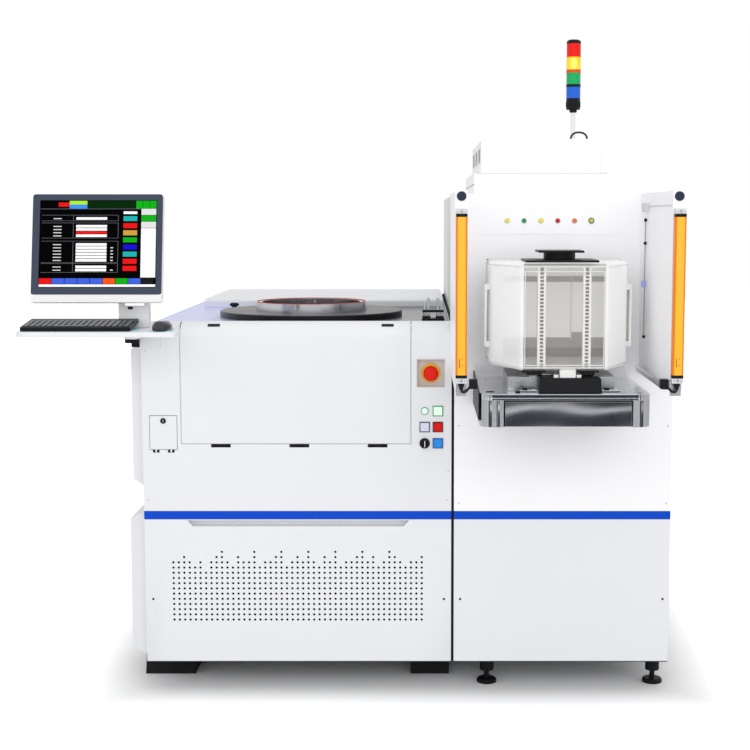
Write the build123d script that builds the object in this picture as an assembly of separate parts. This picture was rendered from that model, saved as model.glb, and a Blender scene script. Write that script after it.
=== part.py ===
from build123d import *
import os
from math import cos, radians, sin, tan

# Driving dimensions in millimetres. X runs along the front, Y to the back and Z up from the floor.
# Working origin: the seam between the two cabinets, on the plane of the front panels, at the floor.
PROBER_WIDTH = 941.0
LOADER_WIDTH = 664.0
SEAM_GAP = 8.0
CABINET_DEPTH = 1750.0
UNDERSIDE = 93.0
DECK_LIP = 1145.0
LOADER_TOP = 1530.0
NOSE_RADIUS = 50.0
SHEET = 3.0
PAN_DEPTH = 60.0
STRIPE_BOTTOM = 540.0
STRIPE_HEIGHT = 26.0
STRIPE_DEPTH = 12.0

# Sides and levels of the two cabinets
PROBER_RIGHT = -SEAM_GAP / 2
PROBER_LEFT = PROBER_RIGHT - PROBER_WIDTH
LOADER_LEFT = SEAM_GAP / 2
LOADER_RIGHT = LOADER_LEFT + LOADER_WIDTH
STRIPE_TOP = STRIPE_BOTTOM + STRIPE_HEIGHT
FRAME_BACK = CABINET_DEPTH - PAN_DEPTH
LIP_RETURN = DECK_LIP - 33.0
DECK_TOP = DECK_LIP - 15.0
DECK_PLATE = 15.0
PROBER_FRAME_TOP = DECK_TOP - DECK_PLATE
LOADER_FRAME_TOP = LOADER_TOP - SHEET

# Welded frames, pads and feet
FRAME_TUBE = 60.0
LOADER_FRAME_TUBE = 50.0
MID_RING = STRIPE_TOP - 6.0
PADS = ((PROBER_LEFT - 36.0, PROBER_LEFT + 125.0), (PROBER_RIGHT - 126.0, PROBER_RIGHT - 2.0))
PAD_LENGTH = 200.0
PAD_SLOPE = 30.0
PAD_INSET = 160.0
FOOT_COLUMNS = (LOADER_LEFT + 107.0, LOADER_RIGHT - 34.0)
FOOT_RADII = (31.0, 8.0, 22.0)
FOOT_HEIGHTS = (14.0, 40.0)

# Hand scoop of the lower front panel
SCOOP_LEFT = PROBER_LEFT + 132.0
SCOOP_RIGHT = PROBER_RIGHT - 129.0
SCOOP_SLOPE = 16.0
SCOOP_HEIGHT = 22.0
SCOOP_DEPTH = 30.0
SCOOP_WALL = 6.0

# Front door, its hinges and its push latches
DOOR_LEFT = PROBER_LEFT + 120.0
DOOR_RIGHT = PROBER_RIGHT - 125.0
DOOR_BOTTOM = DECK_LIP - 369.0
DOOR_GAP = 3.0
DOOR_BACK_GAP = 0.5
HINGE_CENTRES = (DOOR_LEFT + 118.5, DOOR_LEFT + 357.5, DOOR_RIGHT - 100.0)
HINGE_WIDTH = 58.0
HINGE_RADIUS = 4.5
HINGE_PIN = 2.5
HINGE_ARM = 30.0
HINGE_DROP = 7.0
HINGE_INSET = 4.0
HINGE_AXIS_Z = DOOR_BOTTOM - HINGE_DROP
RUNNING = 0.08
LATCH_CENTRES = (DOOR_LEFT + 100.0, DOOR_RIGHT - 69.0)
LATCH_TILT = 38.0
LATCH_WIDTH = 36.0
LATCH_HEIGHT = 10.0
LATCH_PROUD = 2.0
LATCH_BODY = 8.0
LATCH_STEM = 4.0
LATCH_STEM_LENGTH = 24.0
LATCH_GUIDE = 20.0

# Service flap
FLAP_LEFT = PROBER_LEFT + 23.0
FLAP_RIGHT = FLAP_LEFT + 82.0
FLAP_BOTTOM = DECK_LIP - 388.0
FLAP_TOP = FLAP_BOTTOM + 103.0
FLAP_GAP = 1.5
FLAP_HINGE_WIDTH = 18.0
FLAP_HINGE_RADIUS = 3.0
FLAP_PIN = 1.6
FLAP_ARM = 14.0
FLAP_LOCK_RADIUS = 6.0
FLAP_LOCK_DROP = 15.0
FLAP_AXIS_Z = FLAP_BOTTOM - FLAP_HINGE_RADIUS - 3.0
FLAP_AXIS_Y = SHEET / 2

# Operator's controls beside the door
CONTROL_COLUMNS = (PROBER_RIGHT - 81.5, PROBER_RIGHT - 41.5)
CONTROL_ROWS = (DECK_LIP - 270.0, DECK_LIP - 319.0, DECK_LIP - 369.0)
BUTTON_SIZE = 26.0
BUTTON_GAP = 0.2
BEZEL_SIZE = 32.0
BEZEL_BARREL = 29.0
BEZEL_PROUD = 2.0
BEZEL_DEPTH = 30.0
BUTTON_PROUD = 5.0
BUTTON_STEM = 4.0
BUTTON_SEAT = 7.0
SELECTOR_RADIUS = 13.0
SELECTOR_PROUD = 12.0
SELECTOR_GRIP = 8.0
LAMP_RADIUS = 12.0
LAMP_SMALL = 9.0
LAMP_PROUD = 5.0
LAMP_DEPTH = 22.0
EMO_LEFT = PROBER_RIGHT - 107.0
EMO_RIGHT = PROBER_RIGHT - 19.0
EMO_TOP = DECK_LIP - 110.0
EMO_BOTTOM = EMO_TOP - 89.0
EMO_CENTRE_Z = EMO_TOP - 47.0
EMO_POCKET = 32.0
EMO_WALL = 3.0
EMO_CAP_RADIUS = 23.0
EMO_CAP = 16.0
EMO_COLLAR_RADIUS = 30.0
EMO_COLLAR = 8.0
EMO_STEM = 7.0
EMO_STEM_BACK = 12.0
EMO_TRAVEL = 4.5

# Covers on the left side and on the rear of the deck
SIDE_COVER_BULGE = 42.0
LOWER_COVER_BULGE = 55.0
SIDE_COVER_SLOPE = 28.0
UPPER_COVER = (STRIPE_TOP + 60.0, DECK_LIP - 59.0)
LOWER_COVER = (UNDERSIDE + 1.0, STRIPE_TOP - 8.0)
REAR_COVER_FRONT = 1000.0
REAR_COVER_BACK = CABINET_DEPTH - 20.0
REAR_COVER_TOP = DECK_TOP + 26.0
REAR_COVER_INSETS = (48.0, 8.0)
REAR_COVER_EDGE = 10.0

# Test interface on the deck
DISC_CENTRE = (PROBER_LEFT + 480.0, 515.0)
DISC_RADIUS = 305.5
DISC_THICKNESS = 20.0
DISC_TOP = DECK_TOP + DISC_THICKNESS
RING_OUTER = 186.0
RING_INNER = 165.0
RING_RISE = 28.0
RING_TOP = DISC_TOP + RING_RISE
RING_SHOULDER = 12.0
RING_NOTCH = 8.0
RING_NOTCH_DEPTH = 12.0
SEAL_WIDTH = 4.0
SEAL_HEIGHT = 2.0
SEAT = 0.3
KNOB_PLACE = (PROBER_LEFT + 170.0, 905.0)
KNOB_RADII = (9.0, 17.0)
KNOB_HEIGHTS = (6.0, 20.0)
POST_CENTRE = (PROBER_RIGHT - 54.0, 229.0)
POST_BASE = (72.0, 44.0, 12.0)
POST_RADIUS = 4.5
POSTS = ((-27.0, 62.0), (-15.0, 76.0), (15.0, 76.0), (27.0, 62.0))
POST_BRIDGE = (68.0, 14.0, 8.0)
POST_BRIDGE_RISE = 30.0

# Wafer stage
STAGE_BASE = 80.0
STAGE_TOP = MID_RING + FRAME_TUBE + STAGE_BASE
STAGE_ENDS = (140.0, 1600.0)
STAGE_SIDE_GAP = 10.0
RAIL = 25.0
RAIL_ENDS = (180.0, 1200.0)
Y_RAIL_SPREAD = 270.0
Y_RAIL_WIDTH = 40.0
Y_PLATE = (660.0, 430.0, 50.0)
X_RAIL_SPREAD = 150.0
X_RAIL_WIDTH = 30.0
X_RAIL_LENGTH = 620.0
X_PLATE = (320.0, 360.0, 60.0)
X_PLATE_CORNER = 10.0
LIFT_RADIUS = 60.0
LIFT_SEAT = 8.0
LIFT_HEAD_RADIUS = 110.0
LIFT_HEAD = (8.0, 70.0)
HUB_RADIUS = 40.0
HUB_DEPTH = 30.0
CHUCK_RADIUS = 155.0
CHUCK_THICKNESS = 34.0
CHUCK_GROOVES = (50.0, 100.0, 140.0)
CHUCK_GROOVE = 1.0

# Wafer carrier: its height follows from its slots
CARRIER_CENTRE = LOADER_LEFT + 291.0
CARRIER_DROP = 194.0
SLOT_PITCH = 10.0
SLOTS = 25
SLOT_FOOT = 20.0
SLOT_HEAD = 35.0
CARRIER_TOP = LOADER_TOP - CARRIER_DROP
CARRIER_BASE = CARRIER_TOP - SLOT_FOOT - SLOT_PITCH * (SLOTS - 1) - SLOT_HEAD
CARRIER_HALF = 195.0
CARRIER_WINDOW_HALF = 100.0
CARRIER_BACK = -75.0
CARRIER_SHOULDER = CARRIER_BACK - 160.0
CARRIER_FRONT = CARRIER_BACK - 325.0
CARRIER_SHOULDER_RADIUS = 90.0
CARRIER_WINDOW_RADIUS = 25.0
CARRIER_WALL = 4.0
CARRIER_DOOR = 23.0
CARRIER_DOOR_GAP = 0.6
LATCH_KEYS = 110.0
LATCH_KEY_RADIUS = 14.0
LATCH_KEY_DEPTH = 12.0
COMB_OFFSET = 62.0
COMB_WIDTH = 24.0
COMB_BACK = 6.0
COMB_TOOTH = 20.0
TOOTH_HEIGHT = 3.0
FLANGE_PLATE = 6.0
FLANGE_BASE = (204.0, 190.0)
FLANGE_NECK = 20.0
FLANGE_NECK_RADIUS = 45.0
FLANGE_TOP = (128.0, 128.0)
HANDLE_SPAN = (CARRIER_SHOULDER + 20.0, CARRIER_BACK - 40.0)
HANDLE_LUG = 10.0
HANDLE_GRIP = 6.0
HANDLE_LUG_HEIGHT = 16.0
HANDLE_LOW = 50.0
HANDLE_HIGH = 66.0
DOCK_TRAVEL = 70.0

# Load port shelf and moving stage
STAGE_RISE = 64.0
SHELF_CENTRE = CARRIER_CENTRE + 6.0
SHELF_HALF = 235.5
SHELF_FRONT = CARRIER_FRONT - 5.0
SHELF_TOP = CARRIER_BASE - STAGE_RISE
SHELF_HEIGHT = 92.0
SHELF_BOTTOM = SHELF_TOP - SHELF_HEIGHT
SHELF_CORNER = 38.0
COVER_LEFT = SHELF_CENTRE - 167.0
COVER_RIGHT = SHELF_CENTRE + 181.0
COVER_GAP = 4.0
COVER_RECESS = 12.0
COVER_PROUD = 2.0
COVER_DROP = 21.0
CLAMP_LEFT = SHELF_CENTRE - 72.0
CLAMP_RIGHT = SHELF_CENTRE + 98.0
CLAMP_DEPTH = 60.0
CLAMP_SETBACK = 5.0
CLAMP_HEIGHT = 44.0
CLAMP_EDGE = 6.0
STAGE_HALF = 150.0
STAGE_HEIGHT = 40.0
STAGE_FRONT = CARRIER_FRONT + 75.0
STAGE_BACK = CARRIER_BACK - 20.0
STAGE_STEP = (60.0, 85.0, 22.0)
PIN_RADIUS = 7.0
PINS = ((-115.0, -55.0), (115.0, -55.0), (0.0, -150.0))

# Port plate and port door
PORT_OPENING = 30.0
PORT_OPENING_LOW = 56.0
PORT_OPENING_HIGH = 74.0
PORT_PLATE = 20.0
PORT_PLATE_REACH = 38.0
PORT_PLATE_LOW = 72.0
PORT_PLATE_HIGH = 92.0
PORT_DOOR = 17.5
PORT_DOOR_LAP = 15.0
PORT_DOOR_GAP = 0.5
PORT_KEY_RADIUS = 12.0
PORT_KEY_LENGTH = 8.0
LAMP_FIRST = LOADER_LEFT + 157.0
LAMP_PITCH = 50.4
LAMP_COUNT = 6
LAMP_ROW = LOADER_TOP - 80.0

# Side wings and light curtains
WING_THICKNESS = 33.0
WING_LEFT = CARRIER_CENTRE - 304.0
WING_RIGHT = CARRIER_CENTRE + 265.0
WING_REACH = 545.0
WING_BOTTOM = CARRIER_BASE - 38.0
WING_HOLLOW = 200.0
WING_SKIN = 5.0
WING_HOLLOW_ENDS = (40.0, 30.0)
WING_CORNER = 8.0
CURTAIN_SIZE = 30.0
CURTAIN_GAP = 4.0
CURTAIN_EDGE = 3.0
CURTAIN_BOTTOM = WING_BOTTOM + 37.0
CURTAIN_TOP = LOADER_TOP - 60.0
CURTAIN_FRONT = -WING_REACH - CURTAIN_SIZE
CURTAIN_BRACKET = 14.0
CURTAIN_PLUG = (8.0, 20.0)
WING_PLUG_RADIUS = 12.5
WING_PLUG_DROP = 14.0

# Roof: filter unit, blower with its fan, signal tower
FILTER_LEFT = LOADER_LEFT + 64.0
FILTER_RIGHT = LOADER_LEFT + 476.0
FILTER_FRONT = 150.0
FILTER_BACK = 900.0
FILTER_TOP = LOADER_TOP + 66.0
BLOWER_LEFT = FILTER_LEFT + 22.0
BLOWER_RIGHT = FILTER_RIGHT - 15.0
BLOWER_FRONT = FILTER_FRONT + 50.0
BLOWER_BACK = FILTER_BACK - 20.0
BLOWER_TOP = FILTER_TOP + 100.0
BLOWER_EDGE = 6.0
MOTOR_RADIUS = 50.0
MOTOR_HEIGHT = 24.0
SHAFT_RADIUS = 10.0
SHAFT_END_GAP = 12.0
FAN_RADIUS = 150.0
FAN_HUB = 40.0
FAN_DISC = 4.0
FAN_BLADE = 3.0
FAN_BLADES = 8
FAN_TOP_GAPS = (16.0, 20.0)
LIFT_BAR = (BLOWER_LEFT + 160.0, BLOWER_RIGHT - 25.0)
LIFT_BAR_SIZE = (20.0, 8.0)
LIFT_BAR_SETBACK = 40.0
TOWER = (LOADER_LEFT + 388.0, 350.0)
TOWER_POLE = 7.0
TOWER_FOOT = (26.0, 8.0)
TOWER_NECK = (12.0, 7.0)
TOWER_RADIUS = 22.5
TOWER_BASE_BOTTOM = BLOWER_TOP + 106.0
TOWER_BASE = 36.0
TOWER_LENSES = (36.0, 8.0, 36.0, 10.0, 40.0, 42.0)
TOWER_CAP = 13.0
TOWER_CAP_EDGE = 6.0
LEAD_ENDS = (TOWER[0] - 12.0, TOWER[0] + 40.0)
LEAD_Y = TOWER[1] - 50.0
LEAD_RADIUS = 3.0
LEAD_GLAND = (8.0, 7.0)

# Wafer robot
ROBOT = (LOADER_LEFT + 332.0, 700.0)
ROBOT_DECK = 20.0
ROBOT_DECK_HALF = 300.0
ROBOT_DECK_GAP = 5.0
COLUMN_HEIGHT = 260.0
COLUMN_RADIUS = 110.0
COLUMN_FLOOR = 15.0
ROBOT_LIFT_RADIUS = 80.0
ROBOT_LIFT_PROUD = 20.0
TURRET_HUB = 30.0
TURRET_HALF = (70.0, 190.0)
TURRET_HEIGHT = 40.0
TURRET_CORNER = 40.0
ARM_RAIL = (55.0, 12.0, 150.0, 10.0)
BLADE_BLOCK = (65.0, 45.0, 145.0, 20.0)
FORK = (110.0, 330.0, 20.0, 4.0)
FORK_SLOT = (50.0, 120.0)

# Operator console: everything on it is placed from the swivel pin
PIVOT = (PROBER_LEFT - 14.0, -52.0)
PIVOT_RADIUS = 10.0
PIVOT_BOSS = 24.0
PIVOT_ARM = 19.0
BRACKET_GAP = 20.0
BRACKET_HEIGHTS = (11.0, 29.0)
BRACKET_HALF = 12.0
BRACKET_FOOT = (60.0, 6.0)
TRAY_LEFT = PIVOT[0] - 302.0
TRAY_RIGHT = PIVOT[0] + 127.0
TRAY_FRONT = -235.0
TRAY_BACK = -25.0
TRAY_BOTTOM = DECK_LIP - 26.0
TRAY_THICKNESS = 15.0
TRAY_TOP = TRAY_BOTTOM + TRAY_THICKNESS
TRAY_CORNER = 30.0
MOUSE_WING_RIGHT = TRAY_RIGHT + 33.0
MOUSE_WING_BACK = -145.0
MOUSE_WING_CORNER = 18.0
KEYBOARD_LEFT = TRAY_LEFT + 9.0
KEYBOARD_WIDTH = 318.0
KEYBOARD_DEPTH = 139.0
KEYBOARD_FRONT = TRAY_FRONT + 28.0
KEYBOARD_HEIGHT = 12.0
KEYBOARD_TILT = 6.5
KEYBOARD_RIM = 6.0
KEY_FIELD_FRONT = 8.0
KEY_FIELD_FLOOR = 4.0
KEY_ROWS = 6
KEY_COLUMNS = 18
KEY_PITCH = 16.5
KEY_GAP = 0.8
KEY_CLEARANCE = 0.5
KEY_REST = 6.3
KEY_TOP = 15.0
SPACE_BAR = (5, 6)
KEYBOARD_FEET = (30.0, 268.0)
KEYBOARD_FOOT = (20.0, 8.0)
KEYBOARD_FOOT_BACK = 26.0
MONITOR_LEFT = TRAY_LEFT + 22.0
MONITOR_WIDTH = 384.0
MONITOR_HEIGHT = 322.0
MONITOR_BOTTOM = TRAY_TOP + 63.0
MONITOR_TILT = 12.0
MONITOR_THICKNESS = 22.0
MONITOR_CORNER = 8.0
MONITOR_FACE = -112.0
SCREEN_SIDES = 22.0
SCREEN_LOW = 45.0
SCREEN_HIGH = 19.0
SCREEN_RECESS = 2.0
MONITOR_BACK_HALF = 120.0
MONITOR_BACK_SPAN = (55.0, 285.0)
MONITOR_BACK_RISE = 4.0
MONITOR_AXIS = (-45.0, MONITOR_BOTTOM + 93.0)
MONITOR_PIN = 5.0
TONGUE = (28.0, 10.0)
NECK_CENTRE = PIVOT[0] + 8.0
NECK_HALF = (45.0, 20.0)
NECK_BOX = 64.0
NECK_ARM = 13.5
NECK_ARM_HALF = (18.0, 12.0)
MOUSE = (TRAY_RIGHT - 15.0, -170.0)
MOUSE_SIZE = (31.0, 52.0, 30.0)
MOUSE_CROWN = 14.0
MOUSE_LEAD_RADIUS = 2.2

# The finished part's origin: the middle of its footprint box
CENTRE_X = (TRAY_LEFT + LOADER_RIGHT) / 2
CENTRE_Y = (CURTAIN_FRONT + CABINET_DEPTH) / 2

nodes = {}


def add(node, *shapes):
    """File the solids of some shapes under a sub-part's name."""
    for shape in shapes:
        nodes.setdefault(node, []).extend(shape.solids())


def block(x0, x1, y0, y1, z0, z1):
    """A box between two corners."""
    return Pos(x0, y0, z0) * Box(x1 - x0, y1 - y0, z1 - z0, align=(Align.MIN, Align.MIN, Align.MIN))


def along_x(face, x0, x1):
    """A profile drawn in Y and Z, run along X."""
    return Pos(x0, 0, 0) * extrude(Plane.YZ * face, amount=x1 - x0)


def along_y(face, y0, y1):
    """A profile drawn in X and Z, run along Y."""
    return Pos(0, y1, 0) * extrude(Plane.XZ * face, amount=y1 - y0)


def along_z(face, z0, z1):
    """A profile drawn in X and Y, run along Z."""
    return Pos(0, 0, z0) * extrude(face, amount=z1 - z0)


def outline(*points):
    """A flat face inside a closed run of points."""
    return make_face(Polyline(*points, close=True))


def rod_x(x0, x1, y, z, radius):
    """A round bar along X."""
    return along_x(Pos(y, z) * Circle(radius), x0, x1)


def rod_y(y0, y1, x, z, radius):
    """A round bar along Y."""
    return along_y(Pos(x, z) * Circle(radius), y0, y1)


def rod_z(z0, z1, x, y, radius):
    """A round bar along Z."""
    return along_z(Pos(x, y) * Circle(radius), z0, z1)


def ring_z(z0, z1, x, y, outer, inner):
    """A round ring that stands along Z."""
    return rod_z(z0, z1, x, y, outer) - rod_z(z0, z1, x, y, inner)


def soft_block(x0, x1, y0, y1, z0, z1, radius, axis=Axis.Z):
    """A box whose edges along one axis are rounded."""
    body = block(x0, x1, y0, y1, z0, z1)
    return fillet(body.edges().filter_by(axis), radius)


def tube_frame(x0, x1, z0, z1, tube, middle):
    """The members of a welded frame: four posts, and three rings of rails butted between them."""
    post_columns = ((x0, x0 + tube), (x1 - tube, x1))
    post_rows = ((PAN_DEPTH, PAN_DEPTH + tube), (FRAME_BACK - tube, FRAME_BACK))
    members = [block(*column, *row, z0, z1) for column in post_columns for row in post_rows]
    for low in (z0, middle, z1 - tube):
        for row in post_rows:
            members.append(block(x0 + tube, x1 - tube, *row, low, low + tube))
        for column in post_columns:
            members.append(block(*column, PAN_DEPTH + tube, FRAME_BACK - tube, low, low + tube))
    return members


def front_pan(x0, x1, z0, z1):
    """A folded front panel, open at its back."""
    pan = block(x0, x1, 0, PAN_DEPTH, z0, z1)
    return pan - block(x0 + SHEET, x1 - SHEET, SHEET, PAN_DEPTH, z0 + SHEET, z1 - SHEET)


def rear_pan(x0, x1, z0, z1):
    """A folded rear panel, open towards the frame."""
    pan = block(x0, x1, FRAME_BACK, CABINET_DEPTH, z0, z1)
    inner = block(x0 + SHEET, x1 - SHEET, FRAME_BACK, CABINET_DEPTH - SHEET, z0 + SHEET, z1 - SHEET)
    return pan - inner


def nose_block(x0, x1, bottom, inset, depth):
    """A block whose upper front edge is the round nose of the deck, drawn in by an inset."""
    top = DECK_LIP - inset
    face = Pos(inset, bottom) * Rectangle(depth - inset, top - bottom, align=(Align.MIN, Align.MIN))
    corner = face.vertices().sort_by_distance((inset, top, 0))[0]
    return along_x(fillet(corner, NOSE_RADIUS - inset), x0, x1)


def nose_panel(x0, x1, bottom, depth):
    """A folded panel that ends above in the round nose and a lip turned down at its back."""
    panel = nose_block(x0, x1, bottom, 0, depth)
    panel -= nose_block(x0 + SHEET, x1 - SHEET, bottom + SHEET, SHEET, depth - SHEET)
    return panel - block(x0 + SHEET, x1 - SHEET, depth - SHEET, depth, bottom + SHEET, LIP_RETURN)


def hinge(x, width, y, z, radius, pin, arm):
    """A pin hinge along X: the fixed bracket with its pin, and the leaf that turns on it."""
    third = width / 6
    back = y + radius
    fixed = rod_x(x - width / 2, x + width / 2, y, z, pin)
    for low, high in ((x - width / 2, x - third), (x + third, x + width / 2)):
        fixed += rod_x(low, high, y, z, radius)
        fixed += block(low, high, SHEET, back, z - arm, z)
    fixed += block(x - width / 2, x + width / 2, SHEET, back, z - arm, z - radius - 2)
    low, high = x - third + 0.5, x + third - 0.5
    leaf = rod_x(low, high, y, z, radius) + block(low, high, SHEET, back, z, z + arm)
    leaf -= rod_x(low, high, y, z, pin + RUNNING)
    return fixed, leaf


def make_feet():
    """Wedge pads under the prober and levelling feet under the loader."""
    for front in (PAD_INSET, CABINET_DEPTH - PAD_INSET - PAD_LENGTH):
        back = front + PAD_LENGTH
        profile = outline(
            (front, 0), (back, 0), (back - PAD_SLOPE, UNDERSIDE), (front + PAD_SLOPE, UNDERSIDE)
        )
        for x0, x1 in PADS:
            add("feet", along_x(profile, x0, x1))
    disc, screw, nut = FOOT_RADII
    disc_top, screw_top = FOOT_HEIGHTS
    middle = LOADER_FRAME_TUBE / 2
    for y in (PAN_DEPTH + middle, FRAME_BACK - middle):
        for x in FOOT_COLUMNS:
            foot = rod_z(0, disc_top, x, y, disc) + rod_z(disc_top, screw_top, x, y, screw)
            foot += rod_z(screw_top, UNDERSIDE, x, y, nut)
            rims = foot.edges().filter_by(GeomType.CIRCLE).group_by(Axis.Z)[1]
            add("feet", chamfer(rims.sort_by(Edge.length)[-1:], screw / 2))


def make_prober_cabinet():
    """The low cabinet: frame, panels, deck and what stands on the deck."""
    frame_sides = (PROBER_LEFT + SHEET, PROBER_RIGHT - SHEET)
    add("prober_frame", *tube_frame(*frame_sides, UNDERSIDE, PROBER_FRAME_TOP, FRAME_TUBE, MID_RING))

    lower = front_pan(PROBER_LEFT, PROBER_RIGHT, UNDERSIDE, STRIPE_BOTTOM)
    scoop_bottom = STRIPE_BOTTOM - SCOOP_HEIGHT
    lower += block(
        SCOOP_LEFT - SCOOP_WALL, SCOOP_RIGHT + SCOOP_WALL, SHEET, SCOOP_DEPTH + SCOOP_WALL,
        scoop_bottom - SCOOP_WALL, STRIPE_BOTTOM - SHEET,
    )
    scoop_face = outline(
        (SCOOP_LEFT, STRIPE_BOTTOM - SHEET), (SCOOP_RIGHT, STRIPE_BOTTOM - SHEET),
        (SCOOP_RIGHT - SCOOP_SLOPE, scoop_bottom), (SCOOP_LEFT + SCOOP_SLOPE, scoop_bottom),
    )
    lower -= along_y(scoop_face, 0, SCOOP_DEPTH)
    add("lower_front_panels", lower)
    add("lower_front_panels", front_pan(LOADER_LEFT, LOADER_RIGHT, UNDERSIDE, STRIPE_BOTTOM))
    for x0, x1 in ((PROBER_LEFT, PROBER_RIGHT), (LOADER_LEFT, LOADER_RIGHT)):
        add("trim_strips", block(x0, x1, 0, STRIPE_DEPTH, STRIPE_BOTTOM, STRIPE_TOP))
    add("trim_strips", block(PROBER_RIGHT, LOADER_LEFT, 4, FRAME_BACK, UNDERSIDE, DECK_LIP - 6))

    panel = nose_panel(PROBER_LEFT, PROBER_RIGHT, STRIPE_TOP, PAN_DEPTH)
    panel -= block(
        DOOR_LEFT - DOOR_GAP, DOOR_RIGHT + DOOR_GAP, 0, PAN_DEPTH, DOOR_BOTTOM - DOOR_GAP, DECK_LIP
    )
    for x in HINGE_CENTRES:
        notch = HINGE_WIDTH / 2 + 1
        panel -= block(x - notch, x + notch, 0, SHEET, HINGE_AXIS_Z - HINGE_RADIUS - 1.5, DOOR_BOTTOM)
    panel -= block(
        FLAP_LEFT - FLAP_GAP, FLAP_RIGHT + FLAP_GAP, 0, SHEET, FLAP_BOTTOM - FLAP_GAP, FLAP_TOP + FLAP_GAP
    )
    for x in flap_hinges():
        notch = FLAP_HINGE_WIDTH / 2 + 1
        panel -= block(x - notch, x + notch, 0, SHEET, FLAP_AXIS_Z - FLAP_HINGE_RADIUS - 1, FLAP_BOTTOM)
    panel -= block(EMO_LEFT, EMO_RIGHT, 0, SHEET, EMO_BOTTOM, EMO_TOP)
    for x, z in square_places():
        half = BEZEL_BARREL / 2 + BUTTON_GAP
        panel -= block(x - half, x + half, 0, SHEET, z - half, z + half)
    panel -= rod_y(0, SHEET, CONTROL_COLUMNS[0], CONTROL_ROWS[0], LAMP_RADIUS - 2 + BUTTON_GAP)
    panel -= rod_y(0, SHEET, CONTROL_COLUMNS[0], CONTROL_ROWS[2], SELECTOR_RADIUS - 4 + BUTTON_GAP)
    add("upper_front_panel", panel)

    skins = ((PROBER_LEFT, PROBER_LEFT + SHEET), (PROBER_RIGHT - SHEET, PROBER_RIGHT))
    for x0, x1 in skins:
        add("prober_body_panels", block(x0, x1, PAN_DEPTH, FRAME_BACK, UNDERSIDE, DECK_TOP))
    for (z0, z1), bulge in ((UPPER_COVER, SIDE_COVER_BULGE), (LOWER_COVER, LOWER_COVER_BULGE)):
        add("prober_body_panels", side_cover(z0, z1, bulge))
    add("prober_body_panels", rear_pan(PROBER_LEFT, PROBER_RIGHT, UNDERSIDE, DECK_TOP))
    left, right = REAR_COVER_INSETS
    cover = block(
        PROBER_LEFT + left, PROBER_RIGHT - right, REAR_COVER_FRONT, REAR_COVER_BACK, DECK_TOP, REAR_COVER_TOP
    )
    top_edges = cover.edges().filter_by(Axis.X).group_by(Axis.Z)[-1]
    add("prober_body_panels", fillet(top_edges, REAR_COVER_EDGE))

    hole = rod_z(PROBER_FRAME_TOP, DECK_TOP, *DISC_CENTRE, RING_INNER - RING_SHOULDER)
    plate = block(
        PROBER_LEFT + SHEET, PROBER_RIGHT - SHEET, PAN_DEPTH, FRAME_BACK, PROBER_FRAME_TOP, DECK_TOP
    )
    add("deck_plate", plate - hole)
    disc = ring_z(DECK_TOP, DISC_TOP, *DISC_CENTRE, DISC_RADIUS, RING_OUTER + SEAT)
    add("interface_disc", chamfer(disc.edges().filter_by(GeomType.CIRCLE).sort_by(Edge.length)[-1:], 3))
    ring = ring_z(DECK_TOP, RING_TOP, *DISC_CENTRE, RING_OUTER, RING_INNER)
    for turn in range(3):
        angle = radians(90 + 120 * turn)
        place = (DISC_CENTRE[0] + RING_INNER * cos(angle), DISC_CENTRE[1] + RING_INNER * sin(angle))
        ring -= rod_z(RING_TOP - RING_NOTCH_DEPTH, RING_TOP, *place, RING_NOTCH)
    add("card_ring", ring)
    outer = (RING_OUTER + RING_INNER + SEAL_WIDTH) / 2 + SHEET + SEAL_WIDTH / 2
    add("ring_seal", ring_z(RING_TOP, RING_TOP + SEAL_HEIGHT, *DISC_CENTRE, outer, outer - SEAL_WIDTH))

    x, y = POST_CENTRE
    length, width, height = POST_BASE
    base_top = DECK_TOP + height
    base = soft_block(
        x - length / 2, x + length / 2, y - width / 2, y + width / 2, DECK_TOP, base_top, height / 2
    )
    for offset, rise in POSTS:
        base += rod_z(base_top, DECK_TOP + rise, x + offset, y, POST_RADIUS)
    length, width, height = POST_BRIDGE
    low = DECK_TOP + POST_BRIDGE_RISE
    base += block(x - length / 2, x + length / 2, y - width / 2, y + width / 2, low, low + height)
    add("guide_posts", base)
    stem, head = KNOB_RADII
    stem_top, head_top = KNOB_HEIGHTS
    knob = rod_z(DECK_TOP, DECK_TOP + stem_top, *KNOB_PLACE, stem)
    knob += rod_z(DECK_TOP + stem_top, DECK_TOP + head_top, *KNOB_PLACE, head)
    add("guide_posts", fillet(knob.edges().filter_by(GeomType.CIRCLE).sort_by(Axis.Z)[-1:], head * 0.3))


def side_cover(z0, z1, bulge):
    """A bulged service cover on the left side, open towards the skin, with sloped ends."""
    outer = outline(
        (PROBER_LEFT, z0), (PROBER_LEFT - bulge, z0 + SIDE_COVER_SLOPE),
        (PROBER_LEFT - bulge, z1 - SIDE_COVER_SLOPE), (PROBER_LEFT, z1),
    )
    inner = outline(
        (PROBER_LEFT, z0 + SHEET * 2), (PROBER_LEFT - bulge + SHEET, z0 + SIDE_COVER_SLOPE + SHEET),
        (PROBER_LEFT - bulge + SHEET, z1 - SIDE_COVER_SLOPE - SHEET), (PROBER_LEFT, z1 - SHEET * 2),
    )
    cover = along_y(outer, PAN_DEPTH, FRAME_BACK)
    return cover - along_y(inner, PAN_DEPTH + SHEET, FRAME_BACK - SHEET)


def flap_hinges():
    """Centres along X of the two hinges of the service flap."""
    return (FLAP_LEFT + FLAP_HINGE_WIDTH, FLAP_RIGHT - FLAP_HINGE_WIDTH)


def square_places():
    """Places in X and Z of the square buttons: green, grey, red and blue."""
    left, right = CONTROL_COLUMNS
    return ((right, CONTROL_ROWS[0]), (left, CONTROL_ROWS[1]), (right, CONTROL_ROWS[1]), (right, CONTROL_ROWS[2]))


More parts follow.
